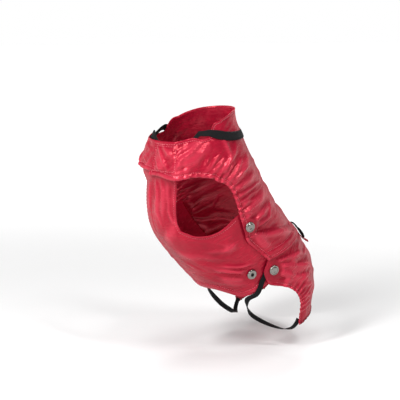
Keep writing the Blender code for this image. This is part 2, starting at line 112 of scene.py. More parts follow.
def softNoise(u, v, size, shift):
    # random heights on a lattice of that size in mm, joined by S-curves; shift picks another stretch
    x, y = u / size + shift * shiftCells[0], v / size + shift * shiftCells[1]
    column, row = np.floor(x).astype(int), np.floor(y).astype(int)
    s, t = step(0, 1, x - column), step(0, 1, y - row)
    column, row = column % latticeSize, row % latticeSize
    near = lattice[row, column] * (1 - s) + lattice[row, column + 1] * s
    far = lattice[row + 1, column] * (1 - s) + lattice[row + 1, column + 1] * s
    return near * (1 - t) + far * t


# how the two sides' folds differ, and the shapes of folds, creases, gathers and hems
leftFolds = {"side": 1, "shift": 0, "share": 1}
rightFolds = {"side": -1, "shift": 5, "share": 0.85}
foldShape = {"wander": 1.6, "wanderSize": 17, "dip": 0.35, "atEnds": 0.3}
creaseShape = {"long": 4.5, "sharp": 2.4, "level": 0.42, "wander": 0.4, "fine": 0.45, "patchy": 0.4}
gatherShape = {
    "reach": 21, "reachVaries": 10, "reachTurn": 2.4, "crestVaries": 0.2, "crestTurn": 1.9, "sharp": 1.3,
}
hemShape = {
    "groove": 0.6, "grooveWidth": 1.0, "grooveBeside": 0.5, "puckerPitch": 3.7, "pucker": 0.28,
    "puckerReach": 1.6, "stitchPitch": 4.3, "seam": 0.4, "seamWidth": 1.1, "stepWidth": 0.8,
    # how far each wavers, and the size and shift of the noise that it follows
    "puckerWaver": (2.2, 9, 3), "stitchWaver": (2, 11, 5),
}


def foldHeight(folds, angle, station, mirrored):
    # each fold is a bell across its line, sunk a little beside it and lower at its ends, and its place
    # wanders by a noise; the right side has the left one's folds, moved and shallower
    u, v = angle * arcPerDegree, station
    wander, size = foldShape["wander"], foldShape["wanderSize"]
    u, v = u + wander * softNoise(u, v, size, 1), v + wander * softNoise(u, v, size, 2)
    total = np.zeros(np.broadcast(u, v).shape)
    for half in (leftFolds, rightFolds) if mirrored else (leftFolds,):
        for angleA, stationA, angleB, stationB, width, height in folds:
            line = np.array([(angleB - angleA) * arcPerDegree, stationB - stationA])
            x = u * half["side"] - angleA * arcPerDegree
            y = v - stationA - half["shift"]
            t = np.clip((x * line[0] + y * line[1]) / (line @ line), 0, 1)
            away = ((x - t * line[0])**2 + (y - t * line[1])**2) / width**2
            bell = (1 - foldShape["dip"] * away) * np.exp(-away)
            ends = foldShape["atEnds"]
            total = total + half["share"] * height * bell * (ends + (1 - ends) * np.sin(np.pi * t))
    return total


def crinkle(run, across, size, shift):
    # sharp small creases: 1 less the size of a noise drawn out along their run, to a power, in patches
    across = across + creaseShape["wander"] * size * softNoise(run, across, 3 * size, shift)
    ridge = 1 - np.abs(softNoise(run / creaseShape["long"], across, size, shift + 1))
    patch = 1 - creaseShape["patchy"] + creaseShape["patchy"] * softNoise(run, across, 4 * size, shift + 2)
    return (ridge**creaseShape["sharp"] - creaseShape["level"]) * patch


def crinkles(run, across, sizes, shifts):
    # the small creases of thin coated nylon: a coarse set and a share of a finer one
    coarse = crinkle(run, across, sizes[0], shifts[0])
    return coarse + creaseShape["fine"] * crinkle(run, across, sizes[1], shifts[1])


def edgePlace(edge, angle, station):
    # distance in mm to an edge line, the length along it and its gather count at the nearest point
    line = np.stack([edge["angle"] * arcPerDegree, edge["station"]], axis=1)
    before, start, run = runLength(line), line[:-1], np.diff(line, axis=0)
    lengths = np.linalg.norm(run, axis=1)
    place = np.stack(np.broadcast_arrays(angle * arcPerDegree, station), axis=-1)
    flat = place.reshape(-1, 1, 2)
    t = np.clip(((flat - start) * run).sum(-1) / lengths**2, 0, 1)
    away = np.linalg.norm(flat - start - t[..., None] * run, axis=-1)
    nearest = away.argmin(1)
    every = np.arange(len(flat))
    t = t[every, nearest]
    found = (away[every, nearest], before[nearest] + t * lengths[nearest],
             edge["count"][nearest] + t * np.diff(edge["count"])[nearest])
    return [one.reshape(place.shape[:-1]) for one in found]


def gathers(distance, count, first, last, height, seed):
    # one wave for each count, its crest sharper than its valley, each fading at its own distance
    count = np.clip(count, first, last)
    number = np.floor(count)
    turned = gatherShape["reachTurn"] * number + seed
    reach = gatherShape["reach"] + gatherShape["reachVaries"] * np.sin(turned)
    varies = gatherShape["crestVaries"]
    crest = height * (1 - varies + varies * np.sin(gatherShape["crestTurn"] * number + seed))
    wave = (0.5 - 0.5 * np.cos(fullTurn * count))**gatherShape["sharp"]
    return crest * wave * np.exp(-((distance / reach)**2))


def waver(along, kind):
    # a noise along an edge that moves its waves to and fro
    much, size, shift = hemShape[kind]
    return much * softNoise(along, along * 0, size, shift)


def rolledHem(distance, along, width, rise):
    # half an ellipse across the hem, a stitched groove beside it, and fine puckers along both
    t = np.clip(distance / width, 0, 1)
    roll = rise * np.sqrt(1 - (2 * t - 1)**2)
    beside = distance - width - hemShape["grooveBeside"]
    groove = hemShape["groove"] * np.exp(-((beside / hemShape["grooveWidth"])**2))
    pucker = np.sin(along * fullTurn / hemShape["puckerPitch"] + waver(along, "puckerWaver"))
    reach = hemShape["puckerReach"] * width
    return roll - groove + hemShape["pucker"] * pucker * np.exp(-((distance / reach)**2))


def flatHem(distance, along, width, rise):
    # a doubled edge: a low step up, and the dimples of its line of stitches
    wave = np.sin(along * fullTurn / hemShape["stitchPitch"] + waver(along, "stitchWaver"))
    dimple = 0.5 + 0.5 * wave
    seam = hemShape["seam"] * (1 + dimple) * np.exp(-(((distance - width) / hemShape["seamWidth"])**2))
    return rise * step(width + hemShape["stepWidth"], width - hemShape["stepWidth"], distance) - seam


def hemAlong(hem, edge, angle, station, size):
    # a hem's height at each place, from its distance to the edge; size is its width and its rise
    distance, along, _ = edgePlace(edge, angle, station)
    return hem(distance, along, *size)


def linearColour(code):
    # an sRGB hex value as linear light
    parts = np.array([int(code[i:i + 2], 16) for i in (1, 3, 5)]) / 255
    linear = np.where(parts <= 0.04045, parts / 12.92, ((parts + 0.055) / 1.055)**2.4)
    return (*linear.tolist(), 1.0)


def setInputs(node, inputs):
    # each input takes a number, a hex colour, or a link from another node's socket
    for name, value in inputs.items():
        if isinstance(value, bpy.types.NodeSocket):
            node.id_data.links.new(value, node.inputs[name])
        elif isinstance(value, str):
            node.inputs[name].default_value = linearColour(value)
        else:
            node.inputs[name].default_value = value


def addNode(tree, kind, output, settings, inputs):
    # a shader node with its settings and links; what it returns is one of its output sockets
    node = tree.nodes.new("ShaderNode" + kind)
    for name, value in settings.items():
        setattr(node, name, value)
    setInputs(node, inputs)
    return node.outputs[output]


def newMaterial(name):
    # an empty material, its node tree and its shader
    made = bpy.data.materials.new(name)
    made.use_nodes = True
    return made, made.node_tree, made.node_tree.nodes["Principled BSDF"]


oneWave = 0.31      # at this scale a wave texture repeats once a unit

# Polyurethane-coated nylon taffeta, woven then coated and calendered: a deep crimson with a clear
# gloss on each crease, a fine plain weave, and paler crests, partly rubbed wear and partly a painted
# highlight. A small metallic share keeps the dye's red in the gloss, as the thin clear coat over red
# threads does.
nylon = {
    "base": "#B01632", "deep": "#8E0E27", "rubbedHighlight": "#CE3A50",
    "rubbedHighlightFrom": 0.25, "rubbedHighlightTo": 1.6,      # crest heights in mm
    "threadMm": 0.9,      # taffeta thread is 0.2 mm; drawn coarser so that it shows
    "crumpleMm": 6.5, "crumpleLeans": (0.5, -0.6),
    "patchMm": 38.0,
    "roughest": 0.32, "glossiest": 0.18,
}
redNylon, tree, shader = newMaterial("coatedNylonTaffeta")
clothMm = addNode(tree, "UVMap", "UV", {"uv_map": "clothMm"}, {})
crest = addNode(tree, "Attribute", "Fac", {"attribute_name": "crest"}, {})
patches = addNode(tree, "TexNoise", "Fac", {}, {
    "Vector": clothMm, "Scale": 1 / nylon["patchMm"], "Detail": 3.0, "Roughness": 0.6})
patchShare = addNode(tree, "MapRange", "Result", {}, {
    "Value": patches, "From Min": 0.3, "From Max": 0.7})
dyed = addNode(tree, "Mix", 2, {"data_type": "RGBA"}, {
    "Factor": patchShare, 6: nylon["deep"], 7: nylon["base"]})
# raised crests are mixed towards a paler red: partly rubbed wear, partly a painted highlight
crestShare = addNode(tree, "MapRange", "Result", {}, {
    "Value": crest, "From Min": nylon["rubbedHighlightFrom"], "From Max": nylon["rubbedHighlightTo"], "To Max": 0.55})
rubbedHighlight = addNode(tree, "Mix", 2, {"data_type": "RGBA"}, {
    "Factor": crestShare, 6: dyed, 7: nylon["rubbedHighlight"]})
threads = addNode(tree, "Mapping", "Vector", {}, {
    "Vector": clothMm, "Scale": (1 / nylon["threadMm"],) * 3})
warp, weft = [addNode(tree, "TexWave", "Fac", {"bands_direction": way}, {
    "Vector": threads, "Scale": oneWave, "Distortion": 0.4, "Detail": 0.0}) for way in "XY"]
weave = addNode(tree, "Math", "Value", {"operation": "MULTIPLY"}, {0: warp, 1: weft})
creases = []
for lean in nylon["crumpleLeans"]:
    # a noise five times as long as wide; it becomes a sharp ridge wherever it passes its middle, by
    # doubling it less 1, taking its size from 1 and cubing that
    turned = addNode(tree, "Mapping", "Vector", {}, {
        "Vector": clothMm, "Rotation": (0.0, 0.0, lean),
        "Scale": (0.2 / nylon["crumpleMm"], 1 / nylon["crumpleMm"], 1.0)})
    ridge = addNode(tree, "TexNoise", "Fac", {}, {
        "Vector": turned, "Scale": 1.0, "Detail": 2.0, "Roughness": 0.5, "Distortion": 0.3})
    for operation, *numbers in (
            ("MULTIPLY_ADD", 2.0, -1.0), ("ABSOLUTE",), ("MULTIPLY_ADD", -1.0, 1.0), ("POWER", 3.0)):
        ridge = addNode(tree, "Math", "Value", {"operation": operation}, {
            0: ridge, **dict(enumerate(numbers, 1))})
    creases.append(ridge)
crumple = addNode(tree, "Math", "Value", {"operation": "ADD"}, {0: creases[0], 1: creases[1]})
# some stretches of the cloth stay smooth
crumpled = addNode(tree, "MapRange", "Result", {}, {
    "Value": patches, "From Min": 0.42, "From Max": 0.62, "To Min": 0.12})
uneven = addNode(tree, "Math", "Value", {"operation": "MULTIPLY"}, {0: crumple, 1: crumpled})
crumpleBump = addNode(tree, "Bump", "Normal", {}, {
    "Strength": 0.36, "Distance": 0.0009, "Height": uneven})
weaveBump = addNode(tree, "Bump", "Normal", {}, {
    "Strength": 0.12, "Distance": 0.0002, "Height": weave, "Normal": crumpleBump})
glossShare = addNode(tree, "MapRange", "Result", {}, {
    "Value": crumple, "From Min": 0.5, "From Max": 1.8,
    "To Min": nylon["roughest"], "To Max": nylon["glossiest"]})
# seen along the cloth the threads break the gloss up
slant = addNode(tree, "LayerWeight", "Facing", {}, {"Blend": 0.5})
slantShare = addNode(tree, "MapRange", "Result", {}, {
    "Value": slant, "From Min": 0.62, "From Max": 0.92, "To Max": 0.42})
roughness = addNode(tree, "Math", "Value", {"operation": "ADD"}, {0: glossShare, 1: slantShare})
setInputs(shader, {
    "Base Color": rubbedHighlight, "Roughness": roughness, "Normal": weaveBump, "IOR": 1.53, "Metallic": 0.16,
    "Specular IOR Level": 0.42, "Specular Tint": "#FFB6AE",
    "Sheen Weight": 0.06, "Sheen Roughness": 0.4, "Sheen Tint": "#FF6A7C"})

# Woven elastic, rubber threads under black polyester: matt, with ribs along its length.
elastic = {"base": "#070708", "worn": "#141315", "ribMm": 1.4}
blackElastic, tree, shader = newMaterial("wovenElastic")
clothMm = addNode(tree, "UVMap", "UV", {"uv_map": "clothMm"}, {})
ribMap = addNode(tree, "Mapping", "Vector", {}, {
    "Vector": clothMm, "Scale": (1 / elastic["ribMm"],) * 3})
ribs = addNode(tree, "TexWave", "Fac", {"bands_direction": "Y"}, {
    "Vector": ribMap, "Scale": oneWave, "Distortion": 0.6, "Detail": 1.0})
picks = addNode(tree, "TexWave", "Fac", {"bands_direction": "X"}, {
    "Vector": ribMap, "Scale": 0.45, "Distortion": 1.5, "Detail": 1.0})
webbing = addNode(tree, "Math", "Value", {"operation": "MULTIPLY_ADD"}, {0: picks, 1: 0.4, 2: ribs})
ribColour = addNode(tree, "Mix", 2, {"data_type": "RGBA"}, {
    "Factor": webbing, 6: elastic["base"], 7: elastic["worn"]})
ribBump = addNode(tree, "Bump", "Normal", {}, {"Strength": 0.6, "Distance": 0.0003, "Height": webbing})
setInputs(shader, {
    "Base Color": ribColour, "Normal": ribBump, "Roughness": 0.78, "Specular IOR Level": 0.16,
    "Sheen Weight": 0.02, "Sheen Roughness": 0.5})

# Pressed brass with bright nickel plate, handled: clear gloss with faint rings and a little haze.
nickel, tree, shader = newMaterial("nickelPlatedBrass")
place = addNode(tree, "TexCoord", "Object", {}, {})
haze = addNode(tree, "TexNoise", "Fac", {}, {
    "Vector": place, "Scale": 900.0, "Detail": 3.0})      # patches of 1.1 mm
hazeShare = addNode(tree, "MapRange", "Result", {}, {
    "Value": haze, "From Min": 0.3, "From Max": 0.7, "To Min": 0.14, "To Max": 0.3})
hazeBump = addNode(tree, "Bump", "Normal", {}, {"Strength": 0.2, "Distance": 0.0001, "Height": haze})
setInputs(shader, {
    "Base Color": "#8F8B86", "Metallic": 1.0, "Roughness": hazeShare, "Normal": hazeBump})

# Blackened spring steel inside the snap's socket: dark and half matt, its darkness also painted shade in
# the socket's hole.
darkSteelAndHoleShade, tree, shader = newMaterial("blackenedSteelAndHoleShade")
place = addNode(tree, "TexCoord", "Object", {}, {})
oil = addNode(tree, "TexNoise", "Fac", {}, {
    "Vector": place, "Scale": 1200.0, "Detail": 2.0})      # spots of 0.8 mm
oilShare = addNode(tree, "MapRange", "Result", {}, {"Value": oil, "To Min": 0.35, "To Max": 0.6})
setInputs(shader, {"Base Color": "#1B1A19", "Metallic": 0.8, "Roughness": oilShare})

# Polyester sewing thread, twisted: a shade lighter than the cloth, half matt.
redThread, tree, shader = newMaterial("polyesterThreadRed")
place = addNode(tree, "TexCoord", "Object", {}, {})
twist = addNode(tree, "TexNoise", "Fac", {}, {
    "Vector": place, "Scale": 2500.0, "Detail": 1.0})      # one turn of the twist in 0.4 mm
twistColour = addNode(tree, "Mix", 2, {"data_type": "RGBA"}, {
    "Factor": twist, 6: "#C8475B", 7: "#E27F8B"})
setInputs(shader, {"Base Color": twistColour, "Roughness": 0.6})

print("materials made")


def declare(piece, replaced):
    # a piece goes into the scene on the coat's one body, and the CAD node that it replaces, if any, is
    # hidden
    scene.collection.objects.link(piece)
    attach(piece, "root")
    if replaced:
        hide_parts(replaced)


def makePiece(name, points, faces, flat, crestHeight, finish, replaced):
    # a mesh from whole arrays; flat is its unrolled place in mm, kept as the UV map clothMm
    mesh = bpy.data.meshes.new(name)
    mesh.from_pydata(points * mm, [], faces)
    if flat is not None:
        corner = np.empty(len(mesh.loops), np.int32)
        mesh.loops.foreach_get("vertex_index", corner)
        uv = mesh.uv_layers.new(name="clothMm")
        uv.data.foreach_set("uv", flat[corner].astype(np.float32).ravel())
    if crestHeight is not None:
        layer = mesh.attributes.new("crest", "FLOAT", "POINT")
        layer.data.foreach_set("value", crestHeight.astype(np.float32).ravel())
    mesh.shade_smooth()
    mesh.materials.append(finish)
    piece = bpy.data.objects.new(name, mesh)
    declare(piece, replaced)
    return piece


def numbersOf(grid, first=0):
    # the vertex numbers of a grid of places, row by row
    return first + np.arange(grid.shape[0] * grid.shape[1]).reshape(grid.shape[:2])


def quadsOf(index):
    # the four corners of each cell of a grid of vertex numbers
    cells = [index[:-1, :-1], index[1:, :-1], index[1:, 1:], index[:-1, 1:]]
    return np.stack(cells, axis=-1).reshape(-1, 4)


def closed(index):
    # a grid of vertex numbers whose last column is its first
    return np.concatenate([index, index[:, :1]], axis=1)


def cloth(name, places, indices, heightOf, thickness, finish, replaced):
    # a thin shell on the form: places are rows of (angle, station), its thickness goes inwards
    angle, station = places.T
    base, detail = heightOf(angle, station)
    points = formPoint(angle, station, base + detail)
    faces = np.concatenate([quadsOf(index) for index in indices])
    first, second = points[faces[:, 1]] - points[faces[:, 0]], points[faces[:, 2]] - points[faces[:, 0]]
    inside = (np.cross(first, second) * outwardAt(angle, station)[faces[:, 0]]).sum(-1) < 0
    faces[inside] = faces[inside, ::-1]
    flat = np.stack([angle * arcPerDegree, station], axis=1)
    piece = makePiece(name, points, faces, flat, detail, finish, replaced)
    wall = piece.modifiers.new("wall", "SOLIDIFY")
    wall.thickness = thickness * mm
    wall.offset = -1
    return piece


def denseEdges(count):
    # -1 to 1 by a cubic whose places lie closer together towards both ends
    t = np.linspace(-1, 1, count)
    return t * (1.25 - 0.25 * t * t)


def gridPlaces(rows, columns, place):
    # a grid of (angle, station), place being the function of row and column that gives them
    row, column = np.meshgrid(rows, columns, indexing="ij")
    angle, station = place(row, column)
    return np.stack(np.broadcast_arrays(angle, station), axis=-1)


def aimed(name, data, azimuth, elevation, distance):
    # an object that looks at the origin, from an azimuth counted from the front towards the left side
    turn, rise = np.radians(azimuth), np.radians(elevation)
    way = Vector((np.sin(turn) * np.cos(rise), -np.cos(turn) * np.cos(rise), np.sin(rise)))
    holder = bpy.data.objects.new(name, data)
    holder.location = way * distance
    holder.rotation_euler = way.to_track_quat("Z", "Y").to_euler()
    scene.collection.objects.link(holder)
    return holder


# the camera at the photo's angle
view = {"azimuth": 54.0, "elevation": 9.5, "distance": 1.30, "lens": 90.0, "sensor": 36.0}
cameraData = bpy.data.cameras.new("camera")
cameraData.lens = view["lens"]
cameraData.sensor_width = view["sensor"]
scene.camera = aimed("camera", cameraData, view["azimuth"], view["elevation"], view["distance"])

# the back panel, with its two neck wings and the nape collar; a hem is its width and its rise
back = {
    "thickness": 1.1, "seamAngle": 110.5, "collarRows": 6, "lastRow": 42, "rowBend": 1.5,
    "leftWingEnd": 185, "rightWingEnd": 212, "wingGathersEnd": 146,
    "lapLift": 2.2, "lapAngles": (138, 150),
    "armholeGathers": 14, "wingGathers": 5, "gatherHeight": 2.4, "lessOnWings": 0.45,
    "gatherSeed": 0.7, "gathersFrom": 20,
    "waistMiddle": 216, "waistCorner": 184, "waistCornerAngle": 99,
    "waistRise": 1.2, "waistRiseOver": (16, 6), "waistRiseSides": (110, 90),
    "armholeHem": (4.2, 1.25), "waistHem": (10.5, 0.5), "waistStitch": (2.8, 0.45),
    "neckHem": (3.2, 0.35), "flapHem": (3.4, 0.35),
    "turnedIn": 3.2, "turnedInWidth": 8, "turnedInAngles": ((-118, -126), (-152, -146)),
    "tapeSeam": (0.5, 0.35, 1.1),
    "creaseShare": 1.3, "crinkle": 0.95, "crinkleSizes": (7.5, 3.8),
    "leftShifts": (4, 9), "rightShifts": (34, 39), "blended": (-24, 24),
    # how busy the small creases are: at the spine, then more of them between two angles
    "busy": (0.3, (0.6, 40, 88), (0.9, 110, 124)),
    # the deepest crease, and how much less deep where another layer lies under it
    "deepest": 4, "lappedLess": 3.4, "lappedSides": ((86, 90), (92, 100)), "lappedWings": (146, 150),
    "hiddenAngles": (-160, -172), "hiddenLess": 0.7,
    # points along and across its grid, and along its edges
    "collarPoints": 37, "torsoPoints": 148, "acrossPoints": 190, "wingPoints": (68, 92),
    "edgePoints": {"wing": 40, "side": 73, "waist": 81, "neck": 160, "flap": 12},
}
flareRound = {"angle": (0, 80, 100, 120, 144, 165, 180), "height": (0, 0, 2, 7, 13.5, 7, 4)}
flareDown = {
    "station": (-40,  0,    10,   30,   48, 62,  80,  100, 120, 140),
    "share":   (0.35, 0.45, 0.65, 0.92, 1,  0.7, 0.2, 0,   0,   0),
}
neckEdge = {
    "angle":   (0,   30,    60,  87,  103, 107, 110.5, 118, 126, 142, 180, 212),
    "station": (-22, -21.5, -19, -11, -2,  8,   9,     9,   6,   7,   8,   8),
}
wingEdge = {
    "angle": (110.5, 128, 146,  165,  180,  213),
    "left":  (56,    48,  46.5, 43.5, 43.5, 47),
    "right": (56,    46,  39.5, 40,   41,   44),
}
backEdge = {
    "row":     (0,     6,     10,  14, 19, 24,  29,  34,  38,  42),
    "angle":   (110.5, 110.5, 101, 96, 95, 97,  100, 103, 101, 99),
    "station": (9,     56,    67,  79, 98, 114, 132, 146, 164, 184),
    "middle":  (-22,   17,    40,  62, 92, 114, 134, 154, 184, 216),
}
backFolds = (
    # from angle and station, to angle and station, width, height: the large ones first
    (153, 42, 112, 18, 6, 3.0), (146, 30, 124, 14, 5, 1.8), (178, 24, 160, 38, 6, 1.6),
    (136, 44, 108, 30, 6, -1.6), (104, 50, 74, 34, 6, 2.0), (96, 66, 50, 54, 7, 2.4),
    (92, 80, 54, 82, 6, 2.0), (88, 116, 50, 112, 7, 2.2), (85, 129, 50, 134, 6, 2.0),
    (84, 142, 42, 184, 6, -3.2), (84, 152, 50, 182, 8, 2.0), (30, 60, 12, 110, 12, 1.2),
    (24, 140, 8, 176, 10, -1.4),
)
backCreases = (
    # the left wing's end, and the fold that runs up from the armhole's front corner
    (178, 14, 155, 36, 2.6, 1.4), (168, 12, 147, 27, 2.4, 1.1), (181, 24, 168, 38, 2.2, 0.9),
    (148, 41, 138, 23, 3.0, 2.0), (141, 27, 124, 14, 3.0, 2.0), (127, 17, 112, 10, 2.6, 1.3),
    (148, 38, 131, 32, 2.2, -1.8), (143, 19, 128, 11, 2.2, 1.1), (151, 33, 142, 17, 2.2, 0.9),
    # the row over the shoulder
    (122, 41, 111, 30, 2.2, 1.3), (117, 45, 101, 32, 2.2, 1.4), (110, 49, 95, 36, 2.2, 1.5),
    (104, 54, 89, 43, 2.4, 1.6), (100, 60, 82, 47, 2.2, 1.5), (97, 65, 70, 51, 2.6, 2.1),
    (96, 70, 64, 62, 2.4, 1.7), (90, 12, 85, 42, 4.5, 1.5), (93, 77, 80, 84, 2.4, 1.4),
    # beside the armhole, and above the waist
    (93, 89, 46, 98, 2.2, 1.1), (91, 101, 79, 104, 3.0, 1.7), (93, 116, 82, 112, 3.0, 1.7),
    (95, 123, 82, 115, 2.6, 1.5), (95, 132, 70, 132, 3.2, 2.4), (86, 140, 66, 144, 2.6, 1.9),
    (67, 144, 54, 133, 2.6, 1.6), (95, 138, 72, 158, 2.6, -2.0), (78, 156, 42, 187, 2.8, -1.8),
    (92, 142, 84, 158, 2.4, 1.4), (94, 140, 90, 152, 2.0, 1.2), (91, 150, 50, 192, 3.4, 1.6),
    (93, 146, 89, 172, 6.0, 2.6), (99, 138, 98, 178, 2.4, -1.0),
    # over the spine
    (60, 20, 20, 14, 8, 0.8), (20, 30, -10, 60, 10, 0.9), (40, 96, 10, 100, 8, 0.9),
    (45, 150, 10, 160, 6, -1.0), (30, 170, -10, 190, 6, 0.9), (14, 120, -20, 132, 9, 0.9),
    (30, 72, 4, 80, 4, 0.9), (34, 128, 12, 122, 4, 0.9), (26, 44, -4, 40, 4, 0.8),
)
snaps = {
    # angle, station, clearance over the cloth; then radii and reaches in mm
    "side": (94, 131, 2.9), "rear": (101, 201, 0.6), "socket": (120, 188, 0.7),
    "radius": 6.8, "pressed": 8.5, "pressedTo": 14.0, "sideLift": 2.4, "darkRadius": 2.3,
    "darkAbove": 0.2, "steps": 40, "slopeReach": 5, "reach": 8,
}


def flare(angle, station):
    # how far the wings stand off the form: a height by the angle times a share by the station
    roundNeck = np.minimum(np.abs(angle), 360 - np.abs(angle))
    return smooth(flareRound, "height", roundNeck) * smooth(flareDown, "share", station)


def waistStation(angle):
    # the waist hem drops from the middle to its corners by a power of the angle
    part = np.minimum(np.abs(angle), back["waistCornerAngle"]) / back["waistCornerAngle"]
    return back["waistMiddle"] + (back["waistCorner"] - back["waistMiddle"]) * part**back["rowBend"]


def backBase(angle, station):
    # the flare, the left wing's lift over the right one, and the low rise of the waist's channel
    lap = back["lapLift"] * step(*back["lapAngles"], angle)
    above, below = back["waistRiseOver"]
    waist = waistStation(angle)
    hem = back["waistRise"] * step(waist - above, waist - below, station)
    return flare(angle, station) + lap + hem * step(*back["waistRiseSides"], np.abs(angle))


def torsoPlace(row, part):
    # rows run from the neck to the waist and bend down towards the sides; part is -1 right, 1 left
    edgeAngle = np.minimum(smooth(backEdge, "angle", row), back["seamAngle"])
    edgeStation, middle = smooth(backEdge, "station", row), smooth(backEdge, "middle", row)
    bend = np.abs(part)**back["rowBend"]
    angle = part * edgeAngle
    first = backEdge["middle"][0] + (backEdge["station"][0] - backEdge["middle"][0]) * bend
    neck = smooth(neckEdge, "station", np.abs(angle))
    lift = (neck - first) * step(back["collarRows"], 0, row)
    return angle, middle + (edgeStation - middle) * bend + lift


def wingPlace(row, angle):
    # rows shared out between the neck edge and the wing's lower edge, as they are at the torso's seam
    roundNeck = np.abs(angle)
    left, right = smooth(wingEdge, "left", roundNeck), smooth(wingEdge, "right", roundNeck)
    neck = smooth(neckEdge, "station", roundNeck)
    first, last = backEdge["station"][0], backEdge["station"][1]
    share = (smooth(backEdge, "station", row) - first) / (last - first)
    return angle, neck + (np.where(angle > 0, left, right) - neck) * share


def armholeEdge(side):
    # the lower edge of the wing, then the torso's side edge down to the waist corner; the gathers are
    # counted from the seam between them, one in two rows
    end = back["leftWingEnd"] if side > 0 else back["rightWingEnd"]
    wingAngle = np.linspace(end, back["seamAngle"], back["edgePoints"]["wing"])[:-1]
    wingStation = smooth(wingEdge, "left" if side > 0 else "right", wingAngle)
    span = back["wingGathersEnd"] - back["seamAngle"]
    wingCount = (back["seamAngle"] - wingAngle) / span * back["wingGathers"]
    row = np.linspace(back["collarRows"], back["lastRow"], back["edgePoints"]["side"])
    sideAngle = np.minimum(smooth(backEdge, "angle", row), back["seamAngle"])
    return {
        "angle": side * np.concatenate([wingAngle, sideAngle]),
        "station": np.concatenate([wingStation, smooth(backEdge, "station", row)]),
        "count": np.concatenate([wingCount, (row - back["collarRows"]) / 2]),
    }


def plainEdge(angle, station):
    # an edge line without gathers
    return {"angle": angle, "station": station, "count": np.zeros(len(angle))}


leftArmhole, rightArmhole = armholeEdge(1), armholeEdge(-1)
waistAngles = back["waistCornerAngle"] * np.linspace(-1, 1, back["edgePoints"]["waist"])
waistEdge = plainEdge(waistAngles, waistStation(waistAngles))
neckAngles = np.linspace(-back["rightWingEnd"], back["leftWingEnd"], back["edgePoints"]["neck"])
neckLine = plainEdge(neckAngles, smooth(neckEdge, "station", np.abs(neckAngles)))
# the stitched rectangle that holds the hook-and-loop tape under the left wing; its dimples are worked
# out within a reach of its middle
tape = {"angles": (147.5, 180), "stations": (13, 38), "middle": 166, "reach": 20}
corners = np.array([(0, 0), (1, 0), (1, 1), (0, 1), (0, 0)])
tapeEdge = plainEdge(np.array(tape["angles"], float)[corners[:, 0]],
                     np.array(tape["stations"], float)[corners[:, 1]])
flapPoints, flapStations = back["edgePoints"]["flap"], (8, 43.5)
flapEdge = plainEdge(np.full(flapPoints, back["leftWingEnd"]), np.linspace(*flapStations, flapPoints))


def bothSides(kind):
    # a snap's angle and station on the left and on the right; the belly counts its angles on past 180
    angle, station, _ = snaps[kind]
    return (angle, station), (360 - angle if kind == "socket" else -angle, station)


def pressedFlat(angle, station, kind):
    # 0 under a snap and 1 away from it, where the cloth is free
    free = 1.0
    for spotAngle, spotStation in bothSides(kind):
        away = np.hypot((angle - spotAngle) * arcPerDegree, station - spotStation)
        free = free * step(snaps["pressed"], snaps["pressedTo"], away)
    return free


fan = {
    "station": (-60, 30,  60,   85,    125,   150,   190,   240),
    "slope":   (0.5, 0.5, 0.25, -0.12, -0.06, -0.45, -0.75, -0.8),
    "reach": (-78, 90), "halvings": 8,
}


def fanPlace(angle, station):
    # creases leave the armhole's edge in straight lines, each with the slope of the station where it
    # starts; that station is found by halving the miss again and again
    run = np.clip((np.abs(angle) - back["seamAngle"]) * arcPerDegree, *fan["reach"])
    start = station
    for _ in range(fan["halvings"]):
        start = (start + station - smooth(fan, "slope", start) * run) / 2
    return run, start


def busyAt(shares, angle):
    # a first share, and each further one by an S-curve between its two angles from the middle
    total = shares[0]
    for share, low, high in shares[1:]:
        total = total + share * step(low, high, np.abs(angle))
    return total


def backHeight(angle, station):
    # base form, and on it the folds, the armholes' gathers and rolled hems, the doubled edges of
    # neck, flap and waist, and the small creases
    roundCoat = np.abs(angle)
    detail = foldHeight(backFolds, angle, station, True)
    detail += back["creaseShare"] * foldHeight(backCreases, angle, station, True)
    for side, edge in ((1, leftArmhole), (-1, rightArmhole)):
        here = np.flatnonzero(angle * side > back["gathersFrom"])
        distance, along, count = edgePlace(edge, angle[here], station[here])
        rows = gathers(distance, count, -back["wingGathers"], back["armholeGathers"],
                       back["gatherHeight"], back["gatherSeed"] * side)
        rows *= 1 - back["lessOnWings"] * step(0, -2, count)
        detail[here] += rows + rolledHem(distance, along, *back["armholeHem"])
        # the right wing's elastic edge turns in where nothing lies under it
        fromSide, toLap = back["turnedInAngles"]
        free = step(*fromSide, angle[here]) * step(*toLap, angle[here])
        detail[here] -= back["turnedIn"] * free * step(back["turnedInWidth"], 0, distance)
    for edge, hem in ((waistEdge, "waistHem"), (waistEdge, "waistStitch"), (neckLine, "neckHem"),
                      (flapEdge, "flapHem")):
        detail += hemAlong(flatHem, edge, angle, station, back[hem])
    here = np.flatnonzero(np.abs(angle - tape["middle"]) < tape["reach"])
    distance, along, _ = edgePlace(tapeEdge, angle[here], station[here])
    dimple = 0.5 + 0.5 * np.sin(along * fullTurn / hemShape["stitchPitch"])
    depth, dimpleDepth, width = back["tapeSeam"]
    detail[here] -= (depth + dimpleDepth * dimple) * np.exp(-((distance / width)**2))
    run, across = fanPlace(angle, station)
    left = crinkles(run, across, back["crinkleSizes"], back["leftShifts"])
    right = crinkles(run, across, back["crinkleSizes"], back["rightShifts"])
    side = step(*back["blended"], angle)
    detail += back["crinkle"] * busyAt(back["busy"], angle) * (side * left + (1 - side) * right)
    # no deeper than the wall allows, and less where another layer lies under it
    fromAngle, fromStation = back["lappedSides"]
    lapped = np.maximum(step(*fromAngle, roundCoat) * step(*fromStation, station),
                        step(*back["lappedWings"], roundCoat))
    detail = np.maximum(detail, -back["deepest"] + back["lappedLess"] * lapped)
    hidden = step(*back["hiddenAngles"], angle)
    free = pressedFlat(angle, station, "side")
    return (backBase(angle, station) + snaps["sideLift"] * (1 - free),
            detail * (free * (1 - back["hiddenLess"] * hidden)))


